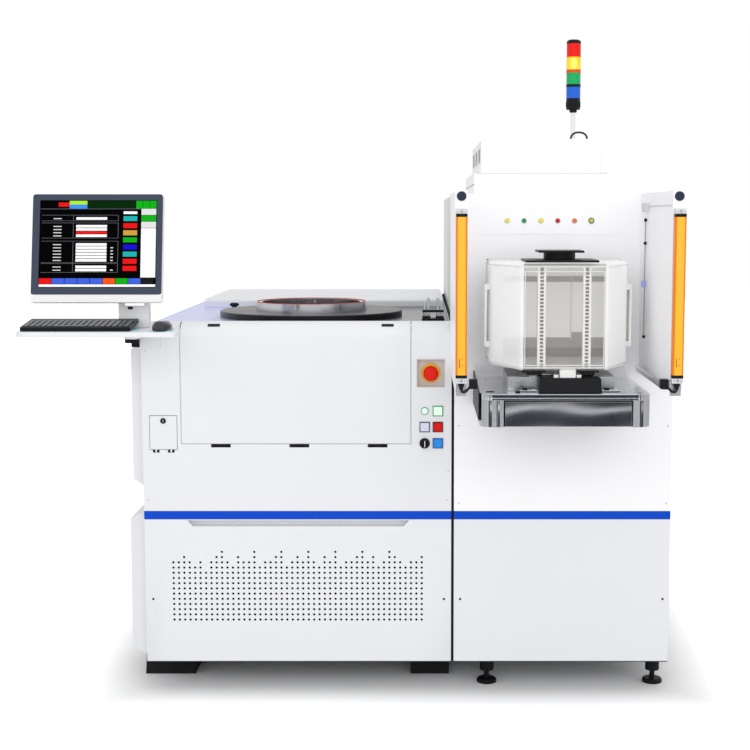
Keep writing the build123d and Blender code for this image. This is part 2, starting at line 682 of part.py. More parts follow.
def on_nose(x, distance):
    """A place on the nose's curve, at a distance from its centre line, facing out and up."""
    return Pos(x, NOSE_RADIUS, DECK_LIP - NOSE_RADIUS) * Rot(LATCH_TILT, 0, 0) * Pos(0, 0, distance)


def make_front_door():
    """The wide front door that folds down, its hinges and its two push latches."""
    depth = PAN_DEPTH - DOOR_BACK_GAP
    door = nose_panel(DOOR_LEFT, DOOR_RIGHT, DOOR_BOTTOM, depth)
    for x in HINGE_CENTRES:
        notch = HINGE_WIDTH / 2 + 1
        door -= block(x - notch, x + notch, SHEET, depth, DOOR_BOTTOM, DOOR_BOTTOM + SHEET)
        fixed, leaf = hinge(x, HINGE_WIDTH, HINGE_INSET, HINGE_AXIS_Z, HINGE_RADIUS, HINGE_PIN, HINGE_ARM)
        add("hinge_brackets", fixed)
        add("door_fittings", leaf)
    inside = NOSE_RADIUS - SHEET
    for x, name in zip(LATCH_CENTRES, ("left_door_latch", "right_door_latch")):
        slot = Box(LATCH_WIDTH + 2 * SEAT, LATCH_HEIGHT + 2 * SEAT, 3 * SHEET)
        door -= on_nose(x, inside + SHEET / 2) * slot
        paddle = on_nose(x, NOSE_RADIUS + LATCH_PROUD - LATCH_BODY / 2) * Box(LATCH_WIDTH, LATCH_HEIGHT, LATCH_BODY)
        paddle += on_nose(x, NOSE_RADIUS - 14) * Cylinder(LATCH_STEM, LATCH_STEM_LENGTH)
        add(name, paddle)
        guide_top = inside - 1.3
        room = LATCH_GUIDE * 0.6
        guide = on_nose(x, guide_top - LATCH_GUIDE / 2) * Box(LATCH_WIDTH + 14, LATCH_HEIGHT + 10, LATCH_GUIDE)
        guide -= on_nose(x, inside - room / 2) * Box(LATCH_WIDTH + 2, LATCH_HEIGHT + 2, room)
        guide -= on_nose(x, inside - room) * Cylinder(LATCH_STEM + RUNNING, LATCH_STEM_LENGTH)
        add("door_fittings", guide)
    add("front_door", door)


def make_service_flap():
    """The small service flap with its lock, folding down on two pin hinges."""
    flap = block(FLAP_LEFT, FLAP_RIGHT, 0, SHEET, FLAP_BOTTOM, FLAP_TOP)
    lock_x = (FLAP_LEFT + FLAP_RIGHT) / 2
    lock_z = FLAP_TOP - FLAP_LOCK_DROP
    flap -= rod_y(0, SHEET, lock_x, lock_z, FLAP_LOCK_RADIUS)
    for x in flap_hinges():
        fixed, leaf = hinge(
            x, FLAP_HINGE_WIDTH, FLAP_AXIS_Y, FLAP_AXIS_Z, FLAP_HINGE_RADIUS, FLAP_PIN, FLAP_ARM
        )
        add("hinge_brackets", fixed)
        add("service_flap", leaf)
    add("service_flap", flap)
    lock = rod_y(-1.5, 0, lock_x, lock_z, FLAP_LOCK_RADIUS + 2) + rod_y(0, 14, lock_x, lock_z, FLAP_LOCK_RADIUS)
    add("service_flap", lock)


def make_controls():
    """The emergency stop, four square buttons, the mode selector and the round lamps."""
    pocket = block(EMO_LEFT, EMO_RIGHT, 0, EMO_POCKET + EMO_WALL, EMO_BOTTOM, EMO_TOP)
    wall = EMO_WALL
    pocket -= block(EMO_LEFT + wall, EMO_RIGHT - wall, 0, EMO_POCKET, EMO_BOTTOM + wall, EMO_TOP - wall)
    centre = (EMO_LEFT + EMO_RIGHT) / 2
    hole = rod_y(0, EMO_POCKET + wall, centre, EMO_CENTRE_Z, EMO_STEM + RUNNING)
    add("control_bezels", pocket - hole)
    collar_front = EMO_POCKET - EMO_COLLAR
    add("control_bezels", rod_y(collar_front, EMO_POCKET, centre, EMO_CENTRE_Z, EMO_COLLAR_RADIUS) - hole)
    cap_back = collar_front - EMO_TRAVEL - 0.5
    cap = rod_y(cap_back - EMO_CAP, cap_back, centre, EMO_CENTRE_Z, EMO_CAP_RADIUS)
    cap = fillet(cap.edges().filter_by(GeomType.CIRCLE).sort_by(Axis.Y)[:1], 9)
    add("emo_button", cap + rod_y(cap_back, EMO_POCKET + EMO_STEM_BACK, centre, EMO_CENTRE_Z, EMO_STEM))

    names = ("green_button", "grey_button", "red_button", "blue_button")
    half = BUTTON_SIZE / 2
    for (x, z), name in zip(square_places(), names):
        flange = along_y(Pos(x, z) * RectangleRounded(BEZEL_SIZE, BEZEL_SIZE, 3), -BEZEL_PROUD, 0)
        barrel = BEZEL_BARREL / 2
        bezel = flange + block(x - barrel, x + barrel, 0, BEZEL_DEPTH, z - barrel, z + barrel)
        room = half + BUTTON_GAP
        bezel -= block(x - room, x + room, -BEZEL_PROUD, BUTTON_SEAT + 5, z - room, z + room)
        bezel -= rod_y(0, BEZEL_DEPTH, x, z, BUTTON_STEM + RUNNING)
        add("control_bezels", bezel)
        key = block(x - half, x + half, -BUTTON_PROUD, BUTTON_SEAT, z - half, z + half)
        key = fillet(key.edges().group_by(Axis.Y)[0], 1.5)
        add(name, key + rod_y(BUTTON_SEAT, BEZEL_DEPTH - 4, x, z, BUTTON_STEM))

    x, z = CONTROL_COLUMNS[0], CONTROL_ROWS[2]
    socket = rod_y(-BEZEL_PROUD, 0, x, z, SELECTOR_RADIUS + 3) + rod_y(0, BEZEL_DEPTH, x, z, SELECTOR_RADIUS - 4)
    add("control_bezels", socket - rod_y(-BEZEL_PROUD, BEZEL_DEPTH, x, z, BUTTON_STEM + RUNNING))
    grip = SELECTOR_GRIP / 2
    knob = rod_y(-SELECTOR_PROUD, -BEZEL_PROUD - SEAT, x, z, SELECTOR_RADIUS)
    knob += block(
        x - grip, x + grip, -SELECTOR_PROUD - SELECTOR_GRIP, -SELECTOR_PROUD,
        z - SELECTOR_RADIUS + 1, z + SELECTOR_RADIUS - 1,
    )
    add("mode_selector", knob + rod_y(-BEZEL_PROUD - SEAT, BEZEL_DEPTH - 2, x, z, BUTTON_STEM))

    add("indicator_lamps", lamp(CONTROL_COLUMNS[0], CONTROL_ROWS[0], LAMP_RADIUS))
    for x in lamp_columns():
        add("indicator_lamps", lamp(x, LAMP_ROW, LAMP_SMALL))


def lamp_columns():
    """Centres along X of the signal lamps over the load port."""
    return [LAMP_FIRST + LAMP_PITCH * count for count in range(LAMP_COUNT)]


def lamp(x, z, radius):
    """A round signal lamp: a domed head on the panel and a barrel through it."""
    head = rod_y(-LAMP_PROUD, 0, x, z, radius)
    head = fillet(head.edges().filter_by(GeomType.CIRCLE).sort_by(Axis.Y)[:1], LAMP_PROUD * 0.6)
    return head + rod_y(0, LAMP_DEPTH, x, z, radius - 2)


def centred(size, x, y, z):
    """A box of a given length, width and height, centred in plan and standing on a level."""
    length, width, height = size
    return block(x - length / 2, x + length / 2, y - width / 2, y + width / 2, z, z + height)


def make_stage():
    """The wafer stage inside the prober: granite base, two crossed carriages, lift and chuck."""
    cx, cy = DISC_CENTRE
    base = block(
        PROBER_LEFT + STAGE_SIDE_GAP, PROBER_RIGHT - STAGE_SIDE_GAP, *STAGE_ENDS, MID_RING + FRAME_TUBE, STAGE_TOP
    )
    half = Y_RAIL_WIDTH / 2
    for rail in (cx - Y_RAIL_SPREAD, cx + Y_RAIL_SPREAD):
        base += block(rail - half, rail + half, *RAIL_ENDS, STAGE_TOP, STAGE_TOP + RAIL)
    add("stage_base", base)
    low = STAGE_TOP + RAIL + SEAT
    y_plate = centred(Y_PLATE, cx, cy, low)
    low += Y_PLATE[2]
    for rail in (cy - X_RAIL_SPREAD, cy + X_RAIL_SPREAD):
        y_plate += centred((X_RAIL_LENGTH, X_RAIL_WIDTH, RAIL), cx, rail, low)
    add("y_carriage", y_plate)
    low += RAIL + SEAT
    socket_floor = low + LIFT_SEAT
    socket_top = low + X_PLATE[2]
    x_plate = centred(X_PLATE, cx, cy, low) - rod_z(socket_floor, socket_top, cx, cy, LIFT_RADIUS + RUNNING)
    add("x_carriage", chamfer(x_plate.edges().filter_by(Axis.Z).group_by(Edge.length)[-1], X_PLATE_CORNER))
    head_low, head_top = (socket_top + rise for rise in LIFT_HEAD)
    lift = rod_z(socket_floor + 1, head_low, cx, cy, LIFT_RADIUS) + rod_z(head_low, head_top, cx, cy, LIFT_HEAD_RADIUS)
    hub_floor = head_top - HUB_DEPTH
    lift -= rod_z(hub_floor, head_top, cx, cy, HUB_RADIUS + RUNNING)
    add("chuck_lift", lift)
    chuck_low = head_top + SEAT
    chuck_top = chuck_low + CHUCK_THICKNESS
    chuck = rod_z(chuck_low, chuck_top, cx, cy, CHUCK_RADIUS) + rod_z(hub_floor + 1, chuck_low, cx, cy, HUB_RADIUS)
    for radius in CHUCK_GROOVES:
        chuck -= ring_z(chuck_top - CHUCK_GROOVE, chuck_top, cx, cy, radius + CHUCK_GROOVE, radius - CHUCK_GROOVE)
    add("wafer_chuck", chuck)


def make_loader_cabinet():
    """The tall cabinet: frame, panels, port plate and port door."""
    sides = (LOADER_LEFT + SHEET, LOADER_RIGHT - SHEET)
    add("loader_frame", *tube_frame(*sides, UNDERSIDE, LOADER_FRAME_TOP, LOADER_FRAME_TUBE, MID_RING))
    front = front_pan(LOADER_LEFT, LOADER_RIGHT, STRIPE_TOP, LOADER_TOP)
    opening = CARRIER_HALF + PORT_OPENING
    centre = CARRIER_CENTRE
    front -= block(
        centre - opening, centre + opening, 0, SHEET,
        CARRIER_BASE - PORT_OPENING_LOW, CARRIER_TOP + PORT_OPENING_HIGH,
    )
    for x in lamp_columns():
        front -= rod_y(0, SHEET, x, LAMP_ROW, LAMP_SMALL - 2 + BUTTON_GAP)
    add("loader_front_panel", front)
    for x0, x1 in ((LOADER_LEFT, LOADER_LEFT + SHEET), (LOADER_RIGHT - SHEET, LOADER_RIGHT)):
        add("loader_body_panels", block(x0, x1, PAN_DEPTH, FRAME_BACK, UNDERSIDE, LOADER_TOP))
    add("loader_body_panels", block(*sides, PAN_DEPTH, FRAME_BACK, LOADER_FRAME_TOP, LOADER_TOP))
    add("loader_body_panels", rear_pan(LOADER_LEFT, LOADER_RIGHT, UNDERSIDE, LOADER_TOP))

    reach = CARRIER_HALF + PORT_PLATE_REACH
    plate = block(
        centre - reach, centre + reach, SHEET, SHEET + PORT_PLATE,
        CARRIER_BASE - PORT_PLATE_LOW, CARRIER_TOP + PORT_PLATE_HIGH,
    )
    plate -= block(
        centre - CARRIER_HALF, centre + CARRIER_HALF, SHEET, SHEET + PORT_PLATE, CARRIER_BASE, CARRIER_TOP
    )
    add("port_plate", plate)
    door_front = SHEET + PORT_PLATE + PORT_DOOR_GAP
    half = CARRIER_HALF + PORT_DOOR_LAP
    door = block(
        centre - half, centre + half, door_front, door_front + PORT_DOOR,
        CARRIER_BASE - PORT_DOOR_LAP, CARRIER_TOP + PORT_DOOR_LAP,
    )
    middle = (CARRIER_BASE + CARRIER_TOP) / 2
    for x in (centre - LATCH_KEYS, centre + LATCH_KEYS):
        door += rod_y(door_front - PORT_KEY_LENGTH, door_front, x, middle, PORT_KEY_RADIUS)
    add("port_door", door)


def make_load_port():
    """The bright shelf with its inner cover and clamp cover, and the moving stage."""
    face = Pos(SHELF_CENTRE, SHELF_FRONT / 2) * Rectangle(2 * SHELF_HALF, -SHELF_FRONT)
    corners = face.vertices().group_by(Axis.Y)[0]
    shelf = along_z(fillet(corners, SHELF_CORNER), SHELF_BOTTOM, SHELF_TOP)
    recess = SHELF_FRONT + COVER_RECESS
    shelf -= block(
        COVER_LEFT - COVER_GAP, COVER_RIGHT + COVER_GAP, SHELF_FRONT, recess,
        SHELF_BOTTOM, SHELF_TOP - COVER_DROP + COVER_GAP,
    )
    cover = block(
        COVER_LEFT, COVER_RIGHT, SHELF_FRONT - COVER_PROUD, recess, SHELF_BOTTOM + COVER_PROUD, SHELF_TOP - COVER_DROP
    )
    clamp_front = SHELF_FRONT + CLAMP_SETBACK
    clamp = soft_block(
        CLAMP_LEFT, CLAMP_RIGHT, clamp_front, clamp_front + CLAMP_DEPTH, SHELF_TOP, SHELF_TOP + CLAMP_HEIGHT,
        CLAMP_EDGE,
    )
    add("load_port_shelf", shelf, cover, clamp)

    cx = CARRIER_CENTRE
    top = SHELF_TOP + STAGE_HEIGHT
    stage = block(cx - STAGE_HALF, cx + STAGE_HALF, STAGE_FRONT, STAGE_BACK, SHELF_TOP + SEAT, top)
    half, depth, rise = STAGE_STEP
    stage -= block(cx - half, cx + half, STAGE_FRONT, STAGE_FRONT + depth, SHELF_TOP + rise, top)
    add("carrier_stage", stage)
    for x, y in PINS:
        add("carrier_stage", rod_z(top, CARRIER_BASE, cx + x, CARRIER_BACK + y, PIN_RADIUS))


def carrier_plan(inset):
    """The carrier's plan: square at its door, drawn in to a flat window at the other end."""
    cx = CARRIER_CENTRE
    half = CARRIER_HALF - inset
    window = CARRIER_WINDOW_HALF - inset * 0.5
    front = CARRIER_FRONT + inset
    face = outline(
        (cx - half, CARRIER_BACK), (cx - half, CARRIER_SHOULDER), (cx - window, front),
        (cx + window, front), (cx + half, CARRIER_SHOULDER), (cx + half, CARRIER_BACK),
    )
    shoulders = face.vertices().group_by(Axis.Y)[1]
    face = fillet(shoulders, CARRIER_SHOULDER_RADIUS - inset)
    return fillet(face.vertices().group_by(Axis.Y)[0], CARRIER_WINDOW_RADIUS - inset)


def make_carrier():
    """The clear wafer carrier: shell, door, slotted combs, base, handles and top flange."""
    cx = CARRIER_CENTRE
    shell = along_z(carrier_plan(0), CARRIER_BASE, CARRIER_TOP)
    room = along_z(carrier_plan(CARRIER_WALL), CARRIER_BASE + CARRIER_WALL, CARRIER_TOP - CARRIER_WALL)
    add("carrier_shell", shell - room)
    half = CARRIER_HALF - CARRIER_WALL - CARRIER_DOOR_GAP
    low = CARRIER_BASE + CARRIER_WALL + CARRIER_DOOR_GAP
    high = CARRIER_TOP - CARRIER_WALL - CARRIER_DOOR_GAP
    door = block(cx - half, cx + half, CARRIER_BACK - CARRIER_DOOR, CARRIER_BACK, low, high)
    for x in (cx - LATCH_KEYS, cx + LATCH_KEYS):
        door -= rod_y(
            CARRIER_BACK - LATCH_KEY_DEPTH, CARRIER_BACK, x, (CARRIER_BASE + CARRIER_TOP) / 2, LATCH_KEY_RADIUS
        )
    add("carrier_door", door)
    half = COMB_WIDTH / 2
    back = CARRIER_FRONT + CARRIER_WALL
    root = back + COMB_BACK
    for x in (cx - COMB_OFFSET, cx + COMB_OFFSET):
        comb = block(x - half, x + half, back, root, CARRIER_BASE + CARRIER_WALL, CARRIER_TOP - CARRIER_WALL)
        for slot in range(SLOTS):
            z = CARRIER_BASE + SLOT_FOOT + slot * SLOT_PITCH
            comb += block(x - half, x + half, root, root + COMB_TOOTH, z, z + TOOTH_HEIGHT)
        add("carrier_combs", comb)
    low = CARRIER_TOP + FLANGE_PLATE
    high = low + FLANGE_NECK
    neck = rod_z(low, high, cx, CARRIER_SHOULDER, FLANGE_NECK_RADIUS)
    flange = centred((*FLANGE_TOP, FLANGE_PLATE), cx, CARRIER_SHOULDER, high)
    base_plate = centred((*FLANGE_BASE, FLANGE_PLATE), cx, CARRIER_SHOULDER, CARRIER_TOP)
    add("carrier_fittings", base_plate, neck + flange)
    grip_low = CARRIER_BASE + HANDLE_LOW
    grip_top = CARRIER_TOP - HANDLE_HIGH
    for side in (-1, 1):
        wall = cx + side * CARRIER_HALF
        outer = wall + side * HANDLE_LUG
        lug_sides = sorted((wall, outer))
        for z in (grip_low, grip_top - HANDLE_LUG_HEIGHT):
            add("carrier_handles", block(*lug_sides, *HANDLE_SPAN, z, z + HANDLE_LUG_HEIGHT))
        grip_sides = sorted((outer, outer + side * HANDLE_GRIP))
        add("carrier_handles", block(*grip_sides, *HANDLE_SPAN, grip_low, grip_top))


def make_guards():
    """The two side wings, with a light curtain on each front edge and its brackets."""
    hollow_front, hollow_back = WING_HOLLOW_ENDS
    for x in (WING_LEFT, WING_RIGHT):
        wing = block(x, x + WING_THICKNESS, -WING_REACH, 0, WING_BOTTOM, LOADER_TOP)
        wing -= block(
            x + WING_SKIN, x + WING_THICKNESS - WING_SKIN, hollow_front - WING_REACH, -hollow_back,
            WING_BOTTOM, WING_BOTTOM + WING_HOLLOW,
        )
        add("curtain_wings", chamfer(wing.edges().filter_by(Axis.X).sort_by(Axis.Y)[:1], WING_CORNER))
        middle = x + WING_THICKNESS / 2
        left = middle - CURTAIN_SIZE / 2
        right = middle + CURTAIN_SIZE / 2
        curtain_back = -WING_REACH - CURTAIN_GAP
        curtain = soft_block(left, right, CURTAIN_FRONT, curtain_back, CURTAIN_BOTTOM, CURTAIN_TOP, CURTAIN_EDGE)
        add("light_curtains", curtain)
        for z in (CURTAIN_BOTTOM - CURTAIN_BRACKET, CURTAIN_TOP):
            bracket = block(left, right, CURTAIN_FRONT + CURTAIN_GAP, -WING_REACH, z, z + CURTAIN_BRACKET)
            add("curtain_brackets", bracket)
        plug_z = LOADER_TOP - WING_PLUG_DROP
        add("curtain_brackets", rod_y(curtain_back, -WING_REACH, middle, plug_z, WING_PLUG_RADIUS))
        radius, length = CURTAIN_PLUG
        top = CURTAIN_BOTTOM - CURTAIN_BRACKET
        add("curtain_brackets", rod_z(top - length, top, middle, -WING_REACH - CURTAIN_BRACKET, radius))


def make_roof():
    """The fan filter unit, blower with its fan, and the signal tower."""
    add("filter_unit", block(FILTER_LEFT, FILTER_RIGHT, FILTER_FRONT, FILTER_BACK, LOADER_TOP, FILTER_TOP))
    housing = soft_block(
        BLOWER_LEFT, BLOWER_RIGHT, BLOWER_FRONT, BLOWER_BACK, FILTER_TOP, BLOWER_TOP, BLOWER_EDGE
    )
    housing -= block(
        BLOWER_LEFT + SHEET, BLOWER_RIGHT - SHEET, BLOWER_FRONT + SHEET, BLOWER_BACK - SHEET,
        FILTER_TOP, BLOWER_TOP - SHEET,
    )
    add("filter_unit", housing)
    cx, cy = (BLOWER_LEFT + BLOWER_RIGHT) / 2, (BLOWER_FRONT + BLOWER_BACK) / 2
    motor_top = FILTER_TOP + MOTOR_HEIGHT
    motor = rod_z(FILTER_TOP, motor_top, cx, cy, MOTOR_RADIUS)
    add("filter_unit", motor + rod_z(motor_top, BLOWER_TOP - SHAFT_END_GAP, cx, cy, SHAFT_RADIUS))
    disc_low = motor_top + 2
    disc_top = disc_low + FAN_DISC
    hub_gap, blade_gap = FAN_TOP_GAPS
    rotor = rod_z(disc_low, BLOWER_TOP - hub_gap, cx, cy, FAN_HUB) + rod_z(disc_low, disc_top, cx, cy, FAN_RADIUS)
    half = FAN_BLADE / 2
    for turn in range(FAN_BLADES):
        blade = block(FAN_HUB - 2, FAN_RADIUS - FAN_DISC, -half, half, disc_top, BLOWER_TOP - blade_gap)
        rotor += Pos(cx, cy, 0) * Rot(0, 0, 360 / FAN_BLADES * turn) * blade
    add("fan_rotor", rotor - rod_z(FILTER_TOP, BLOWER_TOP, cx, cy, SHAFT_RADIUS + RUNNING))
    bar_width, bar_height = LIFT_BAR_SIZE
    bar_front = BLOWER_FRONT + LIFT_BAR_SETBACK
    add("filter_unit", block(*LIFT_BAR, bar_front, bar_front + bar_width, BLOWER_TOP, BLOWER_TOP + bar_height))

    x, y = TOWER
    foot_radius, foot_height = TOWER_FOOT
    neck_radius, neck_height = TOWER_NECK
    neck_low = TOWER_BASE_BOTTOM - neck_height
    pole = rod_z(BLOWER_TOP, neck_low, x, y, TOWER_POLE)
    pole += rod_z(BLOWER_TOP, BLOWER_TOP + foot_height, x, y, foot_radius)
    pole += rod_z(neck_low, TOWER_BASE_BOTTOM, x, y, neck_radius)
    z = TOWER_BASE_BOTTOM + TOWER_BASE
    add("signal_tower", pole + rod_z(TOWER_BASE_BOTTOM, z, x, y, TOWER_RADIUS))
    for height in TOWER_LENSES:
        add("tower_lenses", rod_z(z, z + height, x, y, TOWER_RADIUS))
        z += height
    cap = rod_z(z, z + TOWER_CAP, x, y, TOWER_RADIUS)
    add("signal_tower", fillet(cap.edges().filter_by(GeomType.CIRCLE).sort_by(Axis.Z)[-1:], TOWER_CAP_EDGE))
    gland_radius, gland_height = LEAD_GLAND
    for end in LEAD_ENDS:
        add("signal_tower", rod_z(BLOWER_TOP, BLOWER_TOP + gland_height, end, LEAD_Y, gland_radius))
    add("tower_lead", tower_lead())


def cord_tube(name, route, radius):
    """A round cord along a route, each corner as round as its two runs allow."""
    points = [Vector(*point) for point in route]
    runs = [after - before for before, after in zip(points, points[1:])]
    radii = []
    for before, after in zip(runs, runs[1:]):
        turn = before.get_angle(after)
        radii.append(0.45 * min(before.length, after.length) / tan(radians(turn / 2)))
    path = FilletPolyline(*route, radius=radii)
    tube = sweep(Plane(origin=path @ 0, z_dir=path % 0) * Circle(radius), path=path)
    section = Circle(radius).area
    print(name, "radii", [round(value, 1) for value in radii], "length", round(path.length, 1),
          "volume", round(tube.volume), "section by length", round(section * path.length))
    return tube


def tower_lead():
    """The short lead that arches over the blower's roof, from one gland to the next."""
    left, right = LEAD_ENDS
    y = LEAD_Y
    low = BLOWER_TOP + LEAD_GLAND[1]
    route = [
        (left, y, low), (left, y, low + 9), (left + 4, y, low + 17), (left + 11, y, low + 22.5),
        (left + 21, y, low + 25), (right - 21, y, low + 25), (right - 11, y, low + 22.5),
        (right - 4, y, low + 17), (right, y, low + 9), (right, y, low),
    ]
    return cord_tube("tower lead", route, LEAD_RADIUS)


def make_robot():
    """The wafer robot: deck and column, lift, turret with its arm, and the blade."""
    x, y = ROBOT
    deck_low = MID_RING + LOADER_FRAME_TUBE
    deck_top = deck_low + ROBOT_DECK
    inset = SHEET + ROBOT_DECK_GAP
    deck = block(
        LOADER_LEFT + inset, LOADER_RIGHT - inset, y - ROBOT_DECK_HALF, y + ROBOT_DECK_HALF, deck_low, deck_top
    )
    column_top = deck_top + COLUMN_HEIGHT
    column = rod_z(deck_top, column_top, x, y, COLUMN_RADIUS)
    column -= rod_z(deck_top + COLUMN_FLOOR, column_top, x, y, ROBOT_LIFT_RADIUS + RUNNING)
    add("robot_column", deck, column)
    top = column_top + ROBOT_LIFT_PROUD
    lift = rod_z(deck_top + COLUMN_FLOOR + 5, top, x, y, ROBOT_LIFT_RADIUS)
    add("robot_lift", lift - rod_z(top - HUB_DEPTH, top, x, y, TURRET_HUB + RUNNING))
    half_x, half_y = TURRET_HALF
    arm_top = top + TURRET_HEIGHT
    turret = soft_block(x - half_x, x + half_x, y - half_y, y + half_y, top + SEAT, arm_top, TURRET_CORNER)
    turret += rod_z(top - HUB_DEPTH + 1, top + SEAT, x, y, TURRET_HUB)
    spread, width, half_length, height = ARM_RAIL
    for rail in (x - spread, x + spread):
        turret += centred((width, 2 * half_length, height), rail, y, arm_top)
    add("robot_turret", turret)
    half, front, back, height = BLADE_BLOCK
    low = arm_top + ARM_RAIL[3] + SEAT
    high = low + height
    blade = block(x - half, x + half, y + front, y + back, low, high)
    width, length, corner, thick = FORK
    slot_width, slot_length = FORK_SLOT
    fork = along_z(Pos(x, y - 25) * RectangleRounded(width, length, corner), high, high + thick)
    fork -= along_z(Pos(x, y - 150) * RectangleRounded(slot_width, slot_length, corner), high, high + thick)
    add("robot_blade", blade + fork)


def make_console():
    """The operator console: swivel bracket, tray with its neck, monitor, keyboard and mouse."""
    tray = block(TRAY_LEFT, TRAY_RIGHT, TRAY_FRONT, TRAY_BACK, TRAY_BOTTOM, TRAY_TOP)
    tray = fillet(tray.edges().filter_by(Axis.Z).group_by(Axis.X)[0], TRAY_CORNER)
    tray += soft_block(
        TRAY_RIGHT - 60, MOUSE_WING_RIGHT, TRAY_FRONT, MOUSE_WING_BACK, TRAY_BOTTOM, TRAY_TOP, MOUSE_WING_CORNER
    )
    px, py = PIVOT
    boss_low = TRAY_BOTTOM - PIVOT_ARM
    tray += rod_z(boss_low, TRAY_BOTTOM, px, py, PIVOT_BOSS)
    tray -= rod_z(boss_low, TRAY_BOTTOM - 2, px, py, PIVOT_RADIUS + RUNNING)
    add("console_tray", tray, make_neck())
    bracket_top = TRAY_BOTTOM - BRACKET_GAP
    shallow, deep = BRACKET_HEIGHTS
    reach, thick = BRACKET_FOOT
    bracket = block(px - BRACKET_HALF, px + BRACKET_HALF, py, 0, bracket_top - shallow, bracket_top)
    bracket += rod_z(bracket_top - shallow, bracket_top, px, py, PIVOT_BOSS - 2)
    bracket += rod_z(bracket_top, TRAY_BOTTOM - 4, px, py, PIVOT_RADIUS)
    bracket += block(px - BRACKET_HALF, PROBER_LEFT + reach, -thick, 0, bracket_top - deep, bracket_top)
    add("hinge_brackets", bracket)
    make_monitor()
    make_keyboard()
    half_x, half_y, height = MOUSE_SIZE
    mouse = Pos(*MOUSE, TRAY_TOP) * extrude(Ellipse(half_x, half_y), amount=height)
    add("mouse", fillet(mouse.edges().sort_by(Axis.Z)[-1:], MOUSE_CROWN))
    add("mouse_lead", mouse_lead())


def make_neck():
    """The monitor's neck: a box on the tray with two arms that carry the tilt pin."""
    y_axis, z_axis = MONITOR_AXIS
    half_x, half_y = NECK_HALF
    box_top = TRAY_TOP + NECK_BOX
    neck = block(
        NECK_CENTRE - half_x, NECK_CENTRE + half_x, y_axis - half_y, y_axis + half_y, TRAY_TOP, box_top
    )
    foot, head = NECK_ARM_HALF
    profile = outline(
        (y_axis - foot, box_top), (y_axis + foot, box_top), (y_axis + head, z_axis), (y_axis - head, z_axis)
    )
    for side in (-1, 1):
        low, high = sorted((NECK_CENTRE + side * half_x, NECK_CENTRE + side * (half_x - NECK_ARM)))
        neck += along_x(profile, low, high) + rod_x(low, high, y_axis, z_axis, head)
        neck -= rod_x(low, high, y_axis, z_axis, MONITOR_PIN + RUNNING)
    return neck


def make_monitor():
    """The flat monitor, leaning back on a pin through the neck's two arms."""
    y_axis, z_axis = MONITOR_AXIS
    right = MONITOR_LEFT + MONITOR_WIDTH
    top = MONITOR_BOTTOM + MONITOR_HEIGHT
    back = MONITOR_FACE + MONITOR_THICKNESS
    shell = soft_block(
        MONITOR_LEFT, right, MONITOR_FACE, back, MONITOR_BOTTOM, top, MONITOR_CORNER, Axis.Y
    )
    shell -= block(
        MONITOR_LEFT + SCREEN_SIDES, right - SCREEN_SIDES, MONITOR_FACE, MONITOR_FACE + SCREEN_RECESS,
        MONITOR_BOTTOM + SCREEN_LOW, top - SCREEN_HIGH,
    )
    centre = MONITOR_LEFT + MONITOR_WIDTH / 2
    low, high = (MONITOR_BOTTOM + rise for rise in MONITOR_BACK_SPAN)
    shell += block(
        centre - MONITOR_BACK_HALF, centre + MONITOR_BACK_HALF, back, back + MONITOR_BACK_RISE, low, high
    )
    half_x, half_z = TONGUE
    shell += block(NECK_CENTRE - half_x, NECK_CENTRE + half_x, back, y_axis + half_z, z_axis - half_z, z_axis + half_z)
    shell += rod_x(NECK_CENTRE - NECK_HALF[0], NECK_CENTRE + NECK_HALF[0], y_axis, z_axis, MONITOR_PIN)
    tilt = Pos(0, y_axis, z_axis) * Rot(-MONITOR_TILT, 0, 0) * Pos(0, -y_axis, -z_axis)
    add("monitor", tilt * shell)


def make_keyboard():
    """The compact keyboard, tilted on the tray, with its keys as one sprung set."""
    place = Pos(KEYBOARD_LEFT, KEYBOARD_FRONT, TRAY_TOP) * Rot(KEYBOARD_TILT, 0, 0)
    rim = KEYBOARD_RIM
    body = soft_block(0, KEYBOARD_WIDTH, 0, KEYBOARD_DEPTH, 0, KEYBOARD_HEIGHT, rim)
    body -= block(
        rim, KEYBOARD_WIDTH - rim, KEY_FIELD_FRONT, KEY_FIELD_FRONT + KEY_CLEARANCE + KEY_ROWS * KEY_PITCH,
        KEY_FIELD_FLOOR, KEYBOARD_HEIGHT,
    )
    add("keyboard", place * body)
    foot_y = KEYBOARD_DEPTH - KEYBOARD_FOOT_BACK
    foot_top = TRAY_TOP + foot_y * sin(radians(KEYBOARD_TILT)) - SEAT
    width, depth = KEYBOARD_FOOT
    for x in KEYBOARD_FEET:
        left, front = KEYBOARD_LEFT + x, KEYBOARD_FRONT + foot_y
        add("keyboard", block(left, left + width, front, front + depth, TRAY_TOP, foot_top))
    pitch = (KEYBOARD_WIDTH - 2 * (rim + KEY_CLEARANCE) + KEY_GAP) / KEY_COLUMNS
    depth = KEY_PITCH - KEY_GAP
    bar_start, bar_span = SPACE_BAR
    for row in range(KEY_ROWS):
        for column in range(KEY_COLUMNS):
            in_bar = row == 0 and bar_start <= column < bar_start + bar_span
            if in_bar and column > bar_start:
                continue
            span = bar_span if in_bar else 1
            x0 = rim + KEY_CLEARANCE + column * pitch
            y0 = KEY_FIELD_FRONT + KEY_CLEARANCE + row * KEY_PITCH
            key = block(x0, x0 + span * pitch - KEY_GAP, y0, y0 + depth, KEY_REST, KEY_TOP)
            add("keyboard_keys", place * key)


def mouse_lead():
    """The lead from the mouse's nose, along the tray to its back edge."""
    x, y = MOUSE
    z = TRAY_TOP + 3
    route = [
        (x, y + MOUSE_SIZE[1] + SEAT, z + 6), (x, y + 66, z + 5), (x - 3, y + 82, z), (x - 11, y + 98, z),
        (x - 15, y + 114, z), (x - 11, y + 128, z),
    ]
    return cord_tube("mouse lead", route, MOUSE_LEAD_RADIUS)


